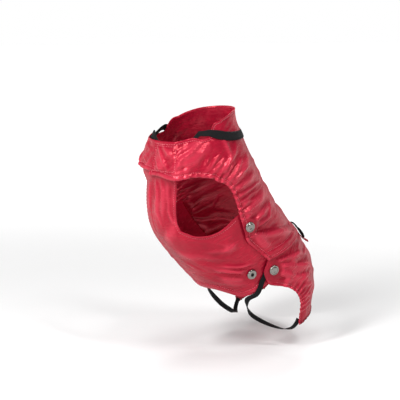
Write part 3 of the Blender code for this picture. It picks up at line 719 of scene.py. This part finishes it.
def joinGrids(main, joined):
    # vertex numbers of the main grid, then of each joined grid, whose first column is shared
    index = numbersOf(main)
    places, indices, total = [main.reshape(-1, 2)], [index], index.size
    for grid, shared in joined:
        fresh = numbersOf(grid[:, 1:], total)
        indices.append(np.concatenate([index[shared][:, None], fresh], axis=1))
        places.append(grid[:, 1:].reshape(-1, 2))
        total += fresh.size
    return np.concatenate(places), indices


# the collar's rows run from the neck to the wings' lower edge
torsoRows = np.concatenate([
    np.linspace(0, back["collarRows"], back["collarPoints"]),
    np.linspace(back["collarRows"], back["lastRow"], back["torsoPoints"])[1:]])
torsoGrid = gridPlaces(torsoRows, denseEdges(back["acrossPoints"]), torsoPlace)
leftAngles = np.linspace(back["seamAngle"], back["leftWingEnd"], back["wingPoints"][0])
rightAngles = -np.linspace(back["seamAngle"], back["rightWingEnd"], back["wingPoints"][1])
collar = slice(0, back["collarPoints"])
places, indices = joinGrids(torsoGrid, [
    (gridPlaces(torsoRows[collar], leftAngles, wingPlace), (collar, -1)),
    (gridPlaces(torsoRows[collar], rightAngles, wingPlace), (collar, 0))])
backPanel = cloth("backPanel", places, indices, backHeight, back["thickness"], redNylon, "back_panel")
print("back panel made")

# the belly panel, with the narrow chest piece
belly = {
    "thickness": 1.1, "bibStation": 100, "bibTop": 34, "bibAngle": 150, "side": 92,
    # how far its sides sink, and how far the chest piece rises under the wings
    "underBack": 1.9, "underRump": 4.5, "underRumpFrom": (168, 188), "sunkFrom": (50, 66),
    "underWing": 2.4, "wingShare": 0.8, "raisedAbove": (58, 42),
    "bibHem": (3.0, 0.6), "rearHem": (8.0, 0.8), "creaseShare": 1.1,
    # small creases: sizes and shifts, and the stations and angles between which they come in
    "crinkle": 0.9, "upperCrinkle": ((7.5, 3.6), (14, 21)), "upperAbove": (124, 96),
    "lowerCrinkle": ((7, 3.6), (17, 24)), "lowerBelow": (100, 124), "lowerBeside": (2, 18),
    "crinkleLean": (0.74, 0.67),
    "shownWithin": (74, 60), "shownBelow": (42, 56), "foldsWithin": (72, 58),
    "bibGrid": (56, 52), "sidePoints": 56, "downPoints": 92,
    "edgePoints": {"bib": 30, "top": 40, "rear": 120},
}
bibEdge = {
    "station": (34,  46,  58,    74,  88,  100),
    "angle":   (147, 148, 148.5, 150, 151, 150),
}
bellyTop = {
    "angle":   (92,  100, 110, 120, 130, 140, 150, 180),
    "station": (112, 112, 115, 116, 114, 109, 100, 100),
}
bellyHem = {
    "angle":   (92,  98,  106, 116, 129,   138, 146, 154, 162, 172, 180),
    "station": (204, 209, 212, 213, 213.5, 213, 210, 199, 190, 187, 186),
}
bellyFolds = (
    (192, 52, 194, 84, 5, 1.8), (174, 58, 178, 90, 5, 1.6), (162, 52, 168, 84, 5, 2.0),
    (183, 54, 184, 96, 4, -1.4), (154, 92, 172, 112, 7, 1.8), (124, 138, 112, 142, 6, 2.0),
    (150, 140, 118, 168, 5, -2.0), (148, 150, 116, 178, 5, 1.8), (170, 128, 136, 140, 7, 1.4),
    (150, 172, 126, 194, 7, 1.4), (236, 150, 222, 172, 6, 1.8), (214, 130, 230, 150, 6, -1.6),
    (244, 138, 232, 150, 6, 1.6),
)
bellyCreases = (
    # down the chest piece
    (191, 54, 190, 78, 2.4, 1.2), (178, 47, 173, 72, 2.6, 1.5), (168, 47, 165, 74, 2.8, 1.6),
    (160, 47, 158, 80, 2.4, 1.4), (153, 50, 152, 76, 2.2, 1.1), (176, 72, 171, 92, 2.4, 1.1),
    (160, 76, 152, 96, 2.6, 1.3), (184, 60, 182, 98, 2.6, 1.0), (200, 56, 198, 90, 2.6, 1.1),
    # across the belly's left side
    (141, 151, 106, 181, 2.8, 1.9), (143, 160, 110, 188, 2.6, 1.8), (141, 156, 108, 185, 2.0, -1.8),
    (146, 165, 114, 191, 2.2, -1.4), (126, 140, 105, 141, 2.4, 1.7), (117, 131, 106, 130, 2.2, 1.2),
    (128, 147, 106, 151, 2.6, -1.3), (146, 172, 122, 191, 3.0, 1.2), (140, 130, 124, 140, 2.6, 1.0),
    # and its right side
    (222, 148, 250, 177, 2.8, 1.8), (216, 158, 247, 186, 2.6, 1.6), (220, 164, 248, 190, 2.0, -1.5),
    (237, 136, 254, 143, 2.4, 1.5), (212, 171, 236, 192, 3.0, 1.2), (233, 146, 252, 157, 2.4, -1.3),
    (214, 132, 230, 140, 2.6, 1.0), (190, 130, 206, 150, 3.0, 0.8), (172, 140, 156, 158, 3.0, 0.8),
)


def bellyBase(angle, station):
    # under the back and rump panels the sides sink; under the wings the chest piece rises with them
    fromChest = np.abs(180 - angle)
    more = (belly["underRump"] - belly["underBack"]) * step(*belly["underRumpFrom"], station)
    underWing = smooth(flareRound, "height", 180 - fromChest) - belly["underWing"]
    lift = belly["wingShare"] * np.maximum(underWing, 0) * step(*belly["raisedAbove"], station)
    return lift - (belly["underBack"] + more) * step(*belly["sunkFrom"], fromChest)


def roundBelly(angle):
    # the angle of the same place on the left half
    return 180 - np.abs(180 - angle)


def bibPlace(row, part):
    # the row is the station, and part shares out the width there
    return 180 - part * (180 - smooth(bibEdge, "angle", row)), row


def bellyPlace(share, angle):
    # a share of the way from the top edge to the rear hem, at each angle
    top = np.maximum(smooth(bellyTop, "station", roundBelly(angle)), belly["bibStation"])
    return angle, top + (smooth(bellyHem, "station", roundBelly(angle)) - top) * share


bellySpan = np.linspace(belly["side"], 360 - belly["side"], belly["edgePoints"]["rear"])
bellyRear = plainEdge(bellySpan, smooth(bellyHem, "station", roundBelly(bellySpan)))
bibStations = np.linspace(belly["bibTop"], belly["bibStation"], belly["edgePoints"]["bib"])
topAngles = np.linspace(belly["bibAngle"], belly["side"], belly["edgePoints"]["top"])
bellyLeft = plainEdge(
    np.concatenate([smooth(bibEdge, "angle", bibStations), topAngles[1:]]),
    np.concatenate([bibStations, smooth(bellyTop, "station", topAngles)[1:]]))
bellyRight = plainEdge(360 - bellyLeft["angle"], bellyLeft["station"])


def bellyHeight(angle, station):
    # base form, and on it the folds, the turned edges and the small creases
    u, v = angle * arcPerDegree, station
    fromChest = np.abs(180 - angle)
    shown = step(*belly["shownWithin"], fromChest) * step(*belly["shownBelow"], station)
    detail = foldHeight(bellyFolds, angle, station, False)
    detail += belly["creaseShare"] * foldHeight(bellyCreases, angle, station, False)
    for hem, edge, size in ((rolledHem, bellyLeft, "bibHem"), (rolledHem, bellyRight, "bibHem"),
                            (flatHem, bellyRear, "rearHem")):
        detail += hemAlong(hem, edge, angle, station, belly[size])
    upper = crinkles(v, u, *belly["upperCrinkle"])
    detail += belly["crinkle"] * upper * step(*belly["upperAbove"], station)
    # below the chest piece the creases run down and back from the middle
    out, down = belly["crinkleLean"]
    beside = fromChest * arcPerDegree
    lower = crinkles(out * beside + down * v, out * v - down * beside, *belly["lowerCrinkle"])
    lower *= step(*belly["lowerBelow"], station) * step(*belly["lowerBeside"], fromChest)
    detail += belly["crinkle"] * lower
    return bellyBase(angle, station), detail * shown * pressedFlat(angle, station, "socket")


# the belly's top row takes in the chest piece's last one
down, across = belly["bibGrid"]
bibRows = np.linspace(belly["bibTop"], belly["bibStation"], down)
bibGrid = gridPlaces(bibRows, np.linspace(1, -1, across), bibPlace)
middleAngles = bibGrid[-1, :, 0]
sideAngles = np.linspace(belly["side"], middleAngles[0], belly["sidePoints"])[:-1]
bellyAngles = np.concatenate([sideAngles, middleAngles, 360 - sideAngles[::-1]])
bellyGrid = gridPlaces((denseEdges(belly["downPoints"]) + 1) / 2, bellyAngles, bellyPlace)
bellyIndex = numbersOf(bellyGrid)
shared = slice(len(sideAngles), len(sideAngles) + len(middleAngles))
bibIndex = np.concatenate([numbersOf(bibGrid[:-1], bellyIndex.size), bellyIndex[:1, shared]])
places = np.concatenate([bellyGrid.reshape(-1, 2), bibGrid[:-1].reshape(-1, 2)])
bellyPanel = cloth("bellyPanel", places, [bellyIndex, bibIndex], bellyHeight, belly["thickness"],
                   redNylon, "belly_panel")
print("belly panel made")

# the rump panel, with its tail notch
rump = {
    "thickness": 1.1, "underWaist": 1.7, "sunkAbove": (13, 3), "shownBelow": (0, 12),
    "gathers": 9, "gatherHeight": 2.4, "gatherSeed": 1.3, "gathersFrom": 15,
    "thighHem": (3.6, 0.8), "tailHem": (4.0, 0.6), "lastRow": 29, "firstGatherRow": 7,
    "creaseShare": 1.6, "creaseCentre": (104, 196), "creaseRadius": 42,
    "crinkle": 1.1, "crinkleKind": ((7, 3.6), (24, 27)), "busy": (0.25, (0.75, 10, 70)),
    "grid": (176, 170), "edgePoints": {"thigh": 70, "tail": 90},
}
rumpTop = {"part": (0, 0.45, 0.65, 0.8, 1), "station": (208, 199, 193, 188, 182)}
rumpSide = {
    "station": (178, 186, 193, 203,   216,   223, 232, 242, 264, 282, 302),
    "angle":   (95,  99,  108, 112.5, 113.5, 109, 103, 99,  96,  98,  101),
}
rumpHem = {
    "part":    (0,   0.1, 0.22, 0.34, 0.5, 0.75, 0.9, 1),
    "station": (262, 264, 274,  290,  302, 307,  305, 300),
}
rumpRows = {"row": (0, 7, 25, 29), "share": (0, 0.38, 0.87, 1)}
rumpFolds = (
    (92, 206, 60, 222, 6, 2.2), (94, 212, 54, 248, 6, 2.4), (98, 218, 72, 258, 6, 2.0),
    (88, 204, 56, 232, 5, -1.6), (48, 238, 26, 252, 9, 1.6), (70, 270, 40, 286, 8, 1.8),
)
rumpCreases = (
    # fanned out from the snapped corner
    (96, 201, 78, 221, 3.0, 1.9), (80, 219, 57, 246, 3.2, 1.6), (95, 194, 81, 204, 2.6, 1.4),
    (83, 202, 58, 221, 3.0, 1.4), (98, 208, 94, 229, 2.6, 1.6), (97, 207, 84, 236, 3.0, 2.1),
    (86, 234, 68, 250, 2.8, 1.5), (104, 214, 92, 226, 2.2, -1.2),
    # on from the thigh's gathers
    (88, 240, 68, 250, 2.4, 1.0), (86, 252, 66, 264, 2.4, 1.0), (86, 266, 66, 277, 2.4, 1.0),
    # over the seat
    (60, 226, 26, 236, 3.4, 0.9), (52, 262, 30, 268, 3.4, 0.8), (40, 226, 10, 222, 4, 0.8),
    (24, 240, 4, 250, 4, 0.8),
)


def rumpPlace(row, part):
    # rows shared out from the top edge to the hem; part shares out the angle between the side edges
    top, hem = smooth(rumpTop, "station", np.abs(part)), smooth(rumpHem, "station", np.abs(part))
    station = top + (hem - top) * smooth(rumpRows, "share", row)
    return part * smooth(rumpSide, "angle", station), station


def rumpBase(angle, station):
    # sunk under the waist hem by an S-curve
    return -rump["underWaist"] * step(*rump["sunkAbove"], station - waistStation(angle))


thighRows = np.linspace(0, rump["lastRow"], rump["edgePoints"]["thigh"])
thighAngle, thighStation = rumpPlace(thighRows, np.ones(len(thighRows)))
thighCount = (thighRows - rump["firstGatherRow"]) / 2
leftThigh = {"angle": thighAngle, "station": thighStation, "count": thighCount}
rightThigh = {"angle": -thighAngle, "station": thighStation, "count": thighCount}
tailParts = np.linspace(-1, 1, rump["edgePoints"]["tail"])
tailEdge = plainEdge(*rumpPlace(np.full(len(tailParts), rump["lastRow"]), tailParts))


def rumpHeight(angle, station):
    # base form, and on it the folds, the small creases, the thigh edges' gathers and the hems
    shown = step(*rump["shownBelow"], station - waistStation(angle))
    detail = foldHeight(rumpFolds, angle, station, True)
    detail += rump["creaseShare"] * foldHeight(rumpCreases, angle, station, True)
    # the creases spread from the snapped corner
    cornerAngle, cornerStation = rump["creaseCentre"]
    x, y = (cornerAngle - np.abs(angle)) * arcPerDegree, station - cornerStation
    run, across = np.hypot(x, y), np.arctan2(y, x) * rump["creaseRadius"]
    small = crinkles(run, across, *rump["crinkleKind"])
    detail += rump["crinkle"] * busyAt(rump["busy"], angle) * small
    detail *= shown
    for side, edge in ((1, leftThigh), (-1, rightThigh)):
        here = np.flatnonzero(angle * side > rump["gathersFrom"])
        distance, along, count = edgePlace(edge, angle[here], station[here])
        rows = gathers(distance, count, 0, rump["gathers"], rump["gatherHeight"],
                       rump["gatherSeed"] + side)
        detail[here] += rows + shown[here] * rolledHem(distance, along, *rump["thighHem"])
    detail += hemAlong(rolledHem, tailEdge, angle, station, rump["tailHem"])
    return rumpBase(angle, station), detail * pressedFlat(angle, station, "rear")


down, across = rump["grid"]
rumpGrid = gridPlaces(np.linspace(0, rump["lastRow"], down), denseEdges(across), rumpPlace)
rumpPanel = cloth("rumpPanel", rumpGrid.reshape(-1, 2), [numbersOf(rumpGrid)], rumpHeight,
                  rump["thickness"], redNylon, "rump_panel")
print("rump panel made")


# a ribbon's section, as shares of its half width and of its thickness above its inner face
section = {
    "width":  (1,   0.96, 0.5, 0, -0.5, -0.96, -1,  -0.96, -0.5, 0, 0.5, 0.96),
    "height": (0.5, 0.92, 1,   1, 1,    0.92,  0.5, 0.08,  0,    0, 0,   0.08),
}


def ribbon(name, centre, lean, halfWidth, thickness, finish, replaced):
    # a rounded strip: that section carried along a path, its outer face towards lean
    along = np.gradient(centre, axis=0)
    across = unit(np.cross(along, lean))
    face = unit(np.cross(across, along))
    width, height = np.array(section["width"]), np.array(section["height"]) - 1
    half = np.broadcast_to(halfWidth, len(centre))[:, None, None]
    ring = centre[:, None] + across[:, None] * half * width[:, None]
    ring = ring + face[:, None] * thickness * height[:, None]
    index = numbersOf(ring)
    flat = np.stack([np.broadcast_to(runLength(centre)[:, None], index.shape),
                     np.broadcast_to(half[:, :, 0] * width, index.shape)], axis=-1)
    faces = quadsOf(closed(index)).tolist() + [index[0].tolist(), index[-1, ::-1].tolist()]
    points = ring.reshape(-1, 3)
    # turned round if the first face looks inwards
    corner = points[np.array(faces[0])]
    normal = np.cross(corner[1] - corner[0], corner[2] - corner[0])
    if normal @ (corner.mean(0) - ring[0].mean(0)) < 0:
        faces = [one[::-1] for one in faces]
    return makePiece(name, points, faces, flat.reshape(-1, 2), None, finish, replaced)


def readEvenly(points, count):
    # a smooth curve through the points, read at evenly spaced places
    marks = np.arange(len(points), dtype=float)
    places = np.linspace(0, marks[-1], count)
    return np.stack([smooth({"mark": marks, "value": one}, "value", places) for one in points.T], axis=1)


def columnsOf(table):
    # the columns of a table of places
    return [np.array(table[name], float) for name in ("angle", "station", "out")]


# the elastic band round the neck: outside the nape, inside both wings
band = {
    "width": 12, "thickness": 1.1, "edgeDrop": 0.35, "uneven": 0.12, "unevenSize": 5, "shift": 31,
    "lapAngle": 149, "grid": (360, 13),
}
bandLine = {
    "angle": (-180, -168, -158, -150, -142, -133, -127, -121, -114, -108, -100, -86, -60, -33, 0,
              33, 60, 86, 100, 108, 114, 121, 127, 133, 150, 180),
    "station": (16, 12.5, 7.5, 5, 7.5, 11, 6, 1.5, 0.5, 1.5, 6, 11.5, 17.5, 20.5, 22,
                20.5, 17.5, 11.5, 6, 1.5, 0.5, 0.5, 8, 14, 16, 16),
    "layer": (-2.4, -2.4, -2.5, -2.4, -2.6, -2.6, -2.6, -1.8, 0, 1.8, 1.8, 1.7, 1.7, 1.7, 1.7,
              1.7, 1.7, 1.7, 1.8, 1.8, 0, -1.8, -2.6, -2.6, -2.4, -2.4),
}
# it is bunched where it passes over the neck edge; its lower side stays put
bunched = {"angle": (0, 84, 96, 104, 112, 121, 128, 140, 180),
           "width": (12, 12, 12, 10, 7.5, 7, 9.5, 12, 12)}


def bandMiddle(angle):
    # the station of the band's middle line, and half its width
    half = smooth(bunched, "width", np.abs(angle)) / 2
    return smooth(bandLine, "station", angle) + band["width"] / 2 - half, half


def bandPlace(angle, part):
    # part runs from -1 to 1 across the band
    middle, half = bandMiddle(angle)
    return angle, middle + part * half


def bandHeight(angle, station):
    # it follows the wings' large folds, past the lap those of the right wing, and drops towards its
    # edges by a sixth power
    middle, half = bandMiddle(angle)
    wingAngle = np.where(angle > band["lapAngle"], angle - 360, angle)
    under = flare(angle, station) + foldHeight(backFolds, wingAngle, station, True)
    edge = np.abs(station - middle) / half
    uneven = softNoise(angle * arcPerDegree, station, band["unevenSize"], band["shift"])
    detail = band["uneven"] * uneven - band["edgeDrop"] * edge**6
    return under + smooth(bandLine, "layer", angle), detail


around, across = band["grid"]
bandGrid = gridPlaces(np.linspace(-180, 180, around), np.linspace(-1, 1, across), bandPlace)
bandIndex = numbersOf(bandGrid)
bandIndex[-1] = bandIndex[0]
neckBand = cloth("neckBand", bandGrid[:-1].reshape(-1, 2), [bandIndex], bandHeight, band["thickness"],
                 blackElastic, "neck_band")
print("neck band made")

# the straps round the thighs: over the belly panel from inside the rump's corner, then a free loop
strap = {"width": 7, "thickness": 1.1, "steps": 150}
strapOnBelly = {
    "angle":   (106,  112,  118,  124, 131),
    "station": (197,  202,  206,  211, 216),
    "out":     (-2.4, -2.3, -1.4, 1.7, 2.4),
}
strapRoundThigh = (
    # x, y, z, then the way its outer face leans
    (45, 44, -131, 0, -0.8, -0.8), (37, 49, -143, -0.6, -0.6, -0.5),
    (32, 60, -156, -0.9, -0.3, -0.4), (33, 75, -167, -0.8, 0, -0.7),
    (41, 89, -175, -0.4, 0, -1), (52, 100, -179, 0.2, -0.1, -1),
    (61, 107, -177, 0.8, -0.2, -0.7), (65, 112, -171, 1, -0.1, -0.2), (65.6, 116, -164, 1, -0.1, 0),
)
angle, station, out = columnsOf(strapOnBelly)
roundThigh = np.array(strapRoundThigh, float)
strapPath, strapLean = [
    readEvenly(np.concatenate(parts), strap["steps"]) for parts in (
        (formPoint(angle, station, out), roundThigh[:, :3]),
        (outwardAt(angle, station), roundThigh[:, 3:]))]
for side, sign in (("Left", 1), ("Right", -1)):
    mirror = np.array([sign, 1, 1])
    ribbon("legStrap" + side, strapPath * mirror, strapLean * mirror, strap["width"] / 2,
           strap["thickness"], blackElastic, "leg_strap_" + side.lower())
print("leg straps made")


def seat(surface, angle, station, clearance):
    # where a round piece sits: its own Z along the cloth's normal, which is the cross product of the
    # slopes there, and its base that far clear of the highest cloth under it
    here = surface(angle, station)
    reach = snaps["slopeReach"]
    down = surface(angle, station + reach) - surface(angle, station - reach)
    across = surface(angle + reach, station) - surface(angle - reach, station)
    normal = unit(np.cross(across, down))
    normal *= np.sign(normal @ outwardAt(angle, station))
    reach = np.arange(-snaps["reach"], snaps["reach"] + 1)
    row, column = np.meshgrid(reach, reach, indexing="ij")
    offset = surface(angle + row / arcPerDegree, station + column) - here
    height = offset @ normal
    beside = np.linalg.norm(offset - height[..., None] * normal, axis=-1)
    base = here + normal * (height[beside < snaps["radius"] + 1].max() + clearance)
    return base, np.array(Vector(normal).to_track_quat("Z", "Y").to_matrix())


def fanned(index):
    # the cells of a grid of vertex numbers, and a fan from each end row to the two points after it
    top, bottom = index.max() + 1, index.max() + 2
    topFan = [[top, a, b] for a, b in zip(index[0, :-1], index[0, 1:])]
    bottomFan = [[bottom, b, a] for a, b in zip(index[-1, :-1], index[-1, 1:])]
    return quadsOf(index).tolist() + topFan + bottomFan


def turnedPiece(name, profile, place, replaced, darkRadius):
    # a profile of radius and height turned about Z, closed by one point at each end; inside
    # darkRadius it is dark steel, which also paints the shade in the socket's hole
    base, turned = place
    radius, height = np.array(profile, float).T
    turn = np.linspace(0, fullTurn, snaps["steps"], endpoint=False)
    ring = np.stack([
        np.outer(radius[1:-1], np.cos(turn)), np.outer(radius[1:-1], np.sin(turn)),
        np.broadcast_to(height[1:-1, None], (len(radius) - 2, len(turn)))], axis=-1)
    local = np.concatenate([ring.reshape(-1, 3), [[0, 0, height[0]], [0, 0, height[-1]]]])
    faces = fanned(closed(numbersOf(ring)))
    piece = makePiece(name, local @ turned.T + base, faces, None, None, nickel, replaced)
    # the dark faces stand for the socket's spring and paint the shade in its hole
    if darkRadius:
        piece.data.materials.append(darkSteelAndHoleShade)
        for face in piece.data.polygons:
            centre = (np.array(face.center) / mm - base) @ turned
            face.material_index = int(
                np.hypot(*centre[:2]) < darkRadius and centre[2] > snaps["darkAbove"])


def largeBack(angle, station):
    # the point of the back panel's face without its small creases
    return formPoint(angle, station, backBase(angle, station) + foldHeight(backFolds, angle, station, True))


def largeBelly(angle, station):
    # the point of the belly panel's face without its small creases
    folds = foldHeight(bellyFolds, angle, station, False)
    folds = folds * step(*belly["foldsWithin"], np.abs(180 - angle))
    return formPoint(angle, station, bellyBase(angle, station) + folds)


def largeRump(angle, station):
    # the point of the rump panel's face without its small creases
    folds = foldHeight(rumpFolds, angle, station, True)
    folds = folds * step(*rump["shownBelow"], station - waistStation(angle))
    return formPoint(angle, station, rumpBase(angle, station) + folds)


# radius and height, from the middle of the face round the rim to the middle of the base
capProfile = (
    (0, 1.7), (1.0, 1.72), (1.8, 1.85), (2.4, 2.15), (3.0, 2.35), (3.7, 2.3), (4.3, 1.95), (4.7, 1.5),
    (5.0, 1.35), (5.3, 1.5), (5.7, 1.75), (6.1, 1.75), (6.5, 1.4), (6.75, 0.8), (6.8, 0.3), (6.7, 0),
    (0, 0),
)
socketProfile = (
    (0, 0.45), (1.2, 0.45), (2.0, 0.5), (2.2, 1.0), (2.35, 1.55), (2.6, 1.8), (2.95, 1.75),
    (3.2, 1.5), (3.6, 1.42), (4.1, 1.6), (4.6, 1.85), (5.3, 1.9), (5.9, 1.65), (6.4, 1.1),
    (6.7, 0.6), (6.75, 0.2), (6.6, 0), (0, 0),
)
for number, side in enumerate(("Left", "Right")):
    for kind, surface, profile, darkRadius in (
            ("side", largeBack, capProfile, 0), ("rear", largeRump, capProfile, 0),
            ("socket", largeBelly, socketProfile, snaps["darkRadius"])):
        place = seat(surface, *bothSides(kind)[number], snaps[kind][2])
        turnedPiece("snap" + kind.capitalize() + side, profile, place,
                    "snap_" + kind + "_" + side.lower(), darkRadius)
print("snaps made")

# the waist drawcord's free loop and its pull tab
cord = {"diameter": 2.2, "steps": 60}
cordLoop = {
    "angle":   (13,    13,  14,  16.5, 20.5,  24.5, 27,  27.5, 27.5),
    "station": (209.5, 214, 221, 229,  233.5, 230,  222, 214,  207.5),
    "out":     (3.2,   5.8, 6.8, 6.4,  5.6,   5.9,  6.2, 5.2,  3.3),
}
cordPath = readEvenly(formPoint(*columnsOf(cordLoop)), cord["steps"]) * mm
curve = bpy.data.curves.new("drawcord", "CURVE")
curve.dimensions = "3D"
curve.bevel_depth = cord["diameter"] / 2 * mm
curve.bevel_resolution = 4
curve.use_fill_caps = True
spline = curve.splines.new("POLY")
spline.points.add(len(cordPath) - 1)
spline.points.foreach_set("co", np.concatenate([cordPath, np.ones((len(cordPath), 1))], axis=1).ravel())
curve.materials.append(blackElastic)
drawcord = bpy.data.objects.new("drawcordLoop", curve)
declare(drawcord, "drawcord")

tab = {
    "angle":   (20,  20,  20,  20,    20),
    "station": (217, 224, 231, 237.5, 243.5),
    "out":     (2.2, 3.0, 4.0, 6.2,   9.4),
    "half":    (4.4, 4.0, 3.4, 2.8,   2.0),
    "thickness": 1.3, "twist": 20, "twistFrom": 0.35, "steps": 50,
}
angle, station, out = columnsOf(tab)
tabPath = readEvenly(formPoint(angle, station, out), tab["steps"])
tabLean = unit(readEvenly(outwardAt(angle, station), tab["steps"]))
tabHalf = readEvenly(np.array(tab["half"], float)[:, None], tab["steps"])[:, 0]
# its free end twists round its own run
tabRun = unit(np.gradient(tabPath, axis=0))
twistShare = step(tab["twistFrom"], 1, np.linspace(0, 1, tab["steps"]))[:, None]
twist = np.radians(tab["twist"]) * twistShare
tabLean = tabLean * np.cos(twist) + np.cross(tabRun, tabLean) * np.sin(twist)
pullTab = ribbon("pullTab", tabPath, tabLean, tabHalf, tab["thickness"], redNylon, "pull_tab")


def insetLine(edge, inset, side):
    # an edge line moved inwards by that many mm, square to its run; side says to which hand
    line = np.stack([edge["angle"] * arcPerDegree, edge["station"]], axis=1)
    way = unit(np.gradient(line, axis=0))
    moved = line + side * inset * np.stack([way[:, 1], -way[:, 0]], axis=1)
    return moved[:, 0] / arcPerDegree, moved[:, 1]


thread = {
    "length": 2.0, "width": 0.62, "height": 0.42, "pitch": 2.9,
    # how far a stitch stands over the cloth, how far off its direction is read, and how many times
    # as many points as the edge's its line is read at
    "above": 0.25, "reach": 0.8, "finer": 12,
    # its rings' places and sizes and how far its ends dip, as shares
    "sides": 6, "ringAt": (-0.36, 0, 0.36), "ringSize": (0.8, 1, 0.8), "dip": 0.1,
}


def stitchLine(edge, shares, inset, side, heightOf):
    # the centres, directions and normals of stitches a pitch apart along a share of an edge
    first, last = [int(share * len(edge["angle"])) for share in shares]
    angle, station = insetLine({key: value[first:last] for key, value in edge.items()}, inset, side)
    mark = np.arange(len(angle))
    fine = np.linspace(0, mark[-1], len(mark) * thread["finer"])
    angle, station = np.interp(fine, mark, angle), np.interp(fine, mark, station)
    base, detail = heightOf(angle, station)
    points = formPoint(angle, station, base + detail + thread["above"])
    length = runLength(points)
    marks = np.arange(thread["pitch"], length[-1] - thread["pitch"], thread["pitch"])
    centre, ahead, behind, normal = [
        np.stack([np.interp(marks + shift, length, one) for one in values.T], axis=1)
        for values, shift in ((points, 0), (points, thread["reach"]), (points, -thread["reach"]),
                              (outwardAt(angle, station), 0))]
    return centre, ahead - behind, normal


def stitchPiece(name, heightOf, sewn):
    # each stitch is a small spindle of three rings and two points, all in one mesh
    lines = [stitchLine(*one, heightOf) for one in sewn]
    centre, way, normal = [np.concatenate(parts) for parts in zip(*lines)]
    way = unit(way)
    across = unit(np.cross(normal, way))
    normal = np.cross(way, across)
    turn = np.linspace(0, fullTurn, thread["sides"], endpoint=False)
    ringX = np.array(thread["ringAt"])[:, None] * thread["length"]
    ringSize = np.array(thread["ringSize"])[:, None]
    local = np.stack([
        np.broadcast_to(ringX, (len(ringX), len(turn))), ringSize * np.cos(turn) * thread["width"] / 2,
        ringSize * np.sin(turn) * thread["height"] / 2], axis=-1)
    cells = fanned(closed(numbersOf(local)))
    tips = np.array([[-0.5, 0, -thread["dip"]], [0.5, 0, -thread["dip"]]]) * thread["length"]
    local = np.concatenate([local.reshape(-1, 3), tips])
    points = centre[:, None] + local @ np.stack([way, across, normal], axis=1)
    start = np.arange(len(centre))[:, None, None] * len(local)
    faces = []
    for sides in (4, 3):
        some = np.array([cell for cell in cells if len(cell) == sides])
        faces += (some + start).reshape(-1, sides)[:, ::-1].tolist()
    return makePiece(name, points.reshape(-1, 3), faces, None, None, redThread, "")


# each line of stitches: its edge, the share of it that is sewn, how far inside it, and to which hand
whole, beside = (0, 1), 0.4      # beside a rolled hem, that far from it
backSewn = (
    (leftArmhole, whole, back["armholeHem"][0] + beside, -1),
    (rightArmhole, whole, back["armholeHem"][0] + beside, 1),
    (waistEdge, whole, back["waistStitch"][0], 1), (waistEdge, whole, back["waistHem"][0], 1),
    (neckLine, (0.12, 1), back["neckHem"][0], -1), (flapEdge, whole, back["flapHem"][0], -1),
    (tapeEdge, whole, 0, 1),
)
bellySewn = (
    (bellyLeft, (0.1, 0.95), belly["bibHem"][0] + beside, 1),
    (bellyRight, (0.1, 0.95), belly["bibHem"][0] + beside, -1),
    (bellyRear, whole, belly["rearHem"][0], 1),
)
rumpSewn = (
    (leftThigh, (0.2, 1), rump["thighHem"][0] + beside, -1),
    (rightThigh, (0.2, 1), rump["thighHem"][0] + beside, 1),
    (tailEdge, whole, rump["tailHem"][0] + beside, 1),
)
backStitches = stitchPiece("backStitches", backHeight, backSewn)
bellyStitches = stitchPiece("bellyStitches", bellyHeight, bellySewn)
rumpStitches = stitchPiece("rumpStitches", rumpHeight, rumpSewn)
print("stitches made")

# Matt painted floor: pale, its sheen broken up, and glowing further out, as a lit backdrop does.
floorSize = {"half": 30.0, "height": -0.205, "glowFrom": 0.35, "glowTo": 1.8}      # metres
floorPaint, tree, shader = newMaterial("paintedFloorMatt")
place = addNode(tree, "TexCoord", "Object", {}, {})
grit = addNode(tree, "TexNoise", "Fac", {}, {"Vector": place, "Scale": 30.0, "Detail": 2.0})
gritShare = addNode(tree, "MapRange", "Result", {}, {"Value": grit, "To Min": 0.62, "To Max": 0.72})
away = addNode(tree, "VectorMath", "Value", {"operation": "LENGTH"}, {0: place})
glow = addNode(tree, "MapRange", "Result", {"interpolation_type": "SMOOTHSTEP"}, {
    "Value": away, "From Min": floorSize["glowFrom"], "From Max": floorSize["glowTo"],
    "To Min": 0.03, "To Max": 0.85})
setInputs(shader, {"Base Color": "#F0F0F0", "Roughness": gritShare,
                   "Emission Color": (1, 1, 1, 1), "Emission Strength": glow})
floorMesh = bpy.data.meshes.new("floor")
half, level = floorSize["half"], floorSize["height"]
floorMesh.from_pydata([(-half, -half, level), (half, -half, level), (half, half, level),
                       (-half, half, level)], [], [(0, 1, 2, 3)])
floorMesh.materials.append(floorPaint)
floor = bpy.data.objects.new("floor", floorMesh)
scene.collection.objects.link(floor)

# the soft white room: white where the sweep meets the floor, dim towards the ceiling
room = bpy.data.worlds.new("whiteRoom")
room.use_nodes = True
tree = room.node_tree
way = addNode(tree, "TexCoord", "Generated", {}, {})
upward = addNode(tree, "SeparateXYZ", "Z", {}, {"Vector": way})
wall = addNode(tree, "MapRange", "Result", {"interpolation_type": "SMOOTHSTEP"}, {
    "Value": upward, "From Min": 0.05, "From Max": 0.4, "To Min": 1.0, "To Max": 0.15})
setInputs(tree.nodes["Background"], {"Strength": wall, "Color": (1, 1, 1, 1)})
scene.world = room
lamps = (
    # name, azimuth, elevation, distance, width, height, watts
    ("keyLamp", 14, 38, 1.3, 0.2, 0.7, 16),
    ("sideLamp", 96, 52, 1.3, 0.12, 0.4, 5.5),
    ("topLamp", 60, 84, 1.5, 0.5, 0.5, 5.5),
    ("backLamp", 215, 40, 1.6, 0.4, 0.6, 7),
)
for name, azimuth, elevation, distance, width, height, watts in lamps:
    lamp = bpy.data.lights.new(name, "AREA")
    lamp.shape = "RECTANGLE"
    lamp.size = width
    lamp.size_y = height
    lamp.energy = watts
    aimed(name, lamp, azimuth, elevation, distance)
scene.view_settings.view_transform = "Standard"
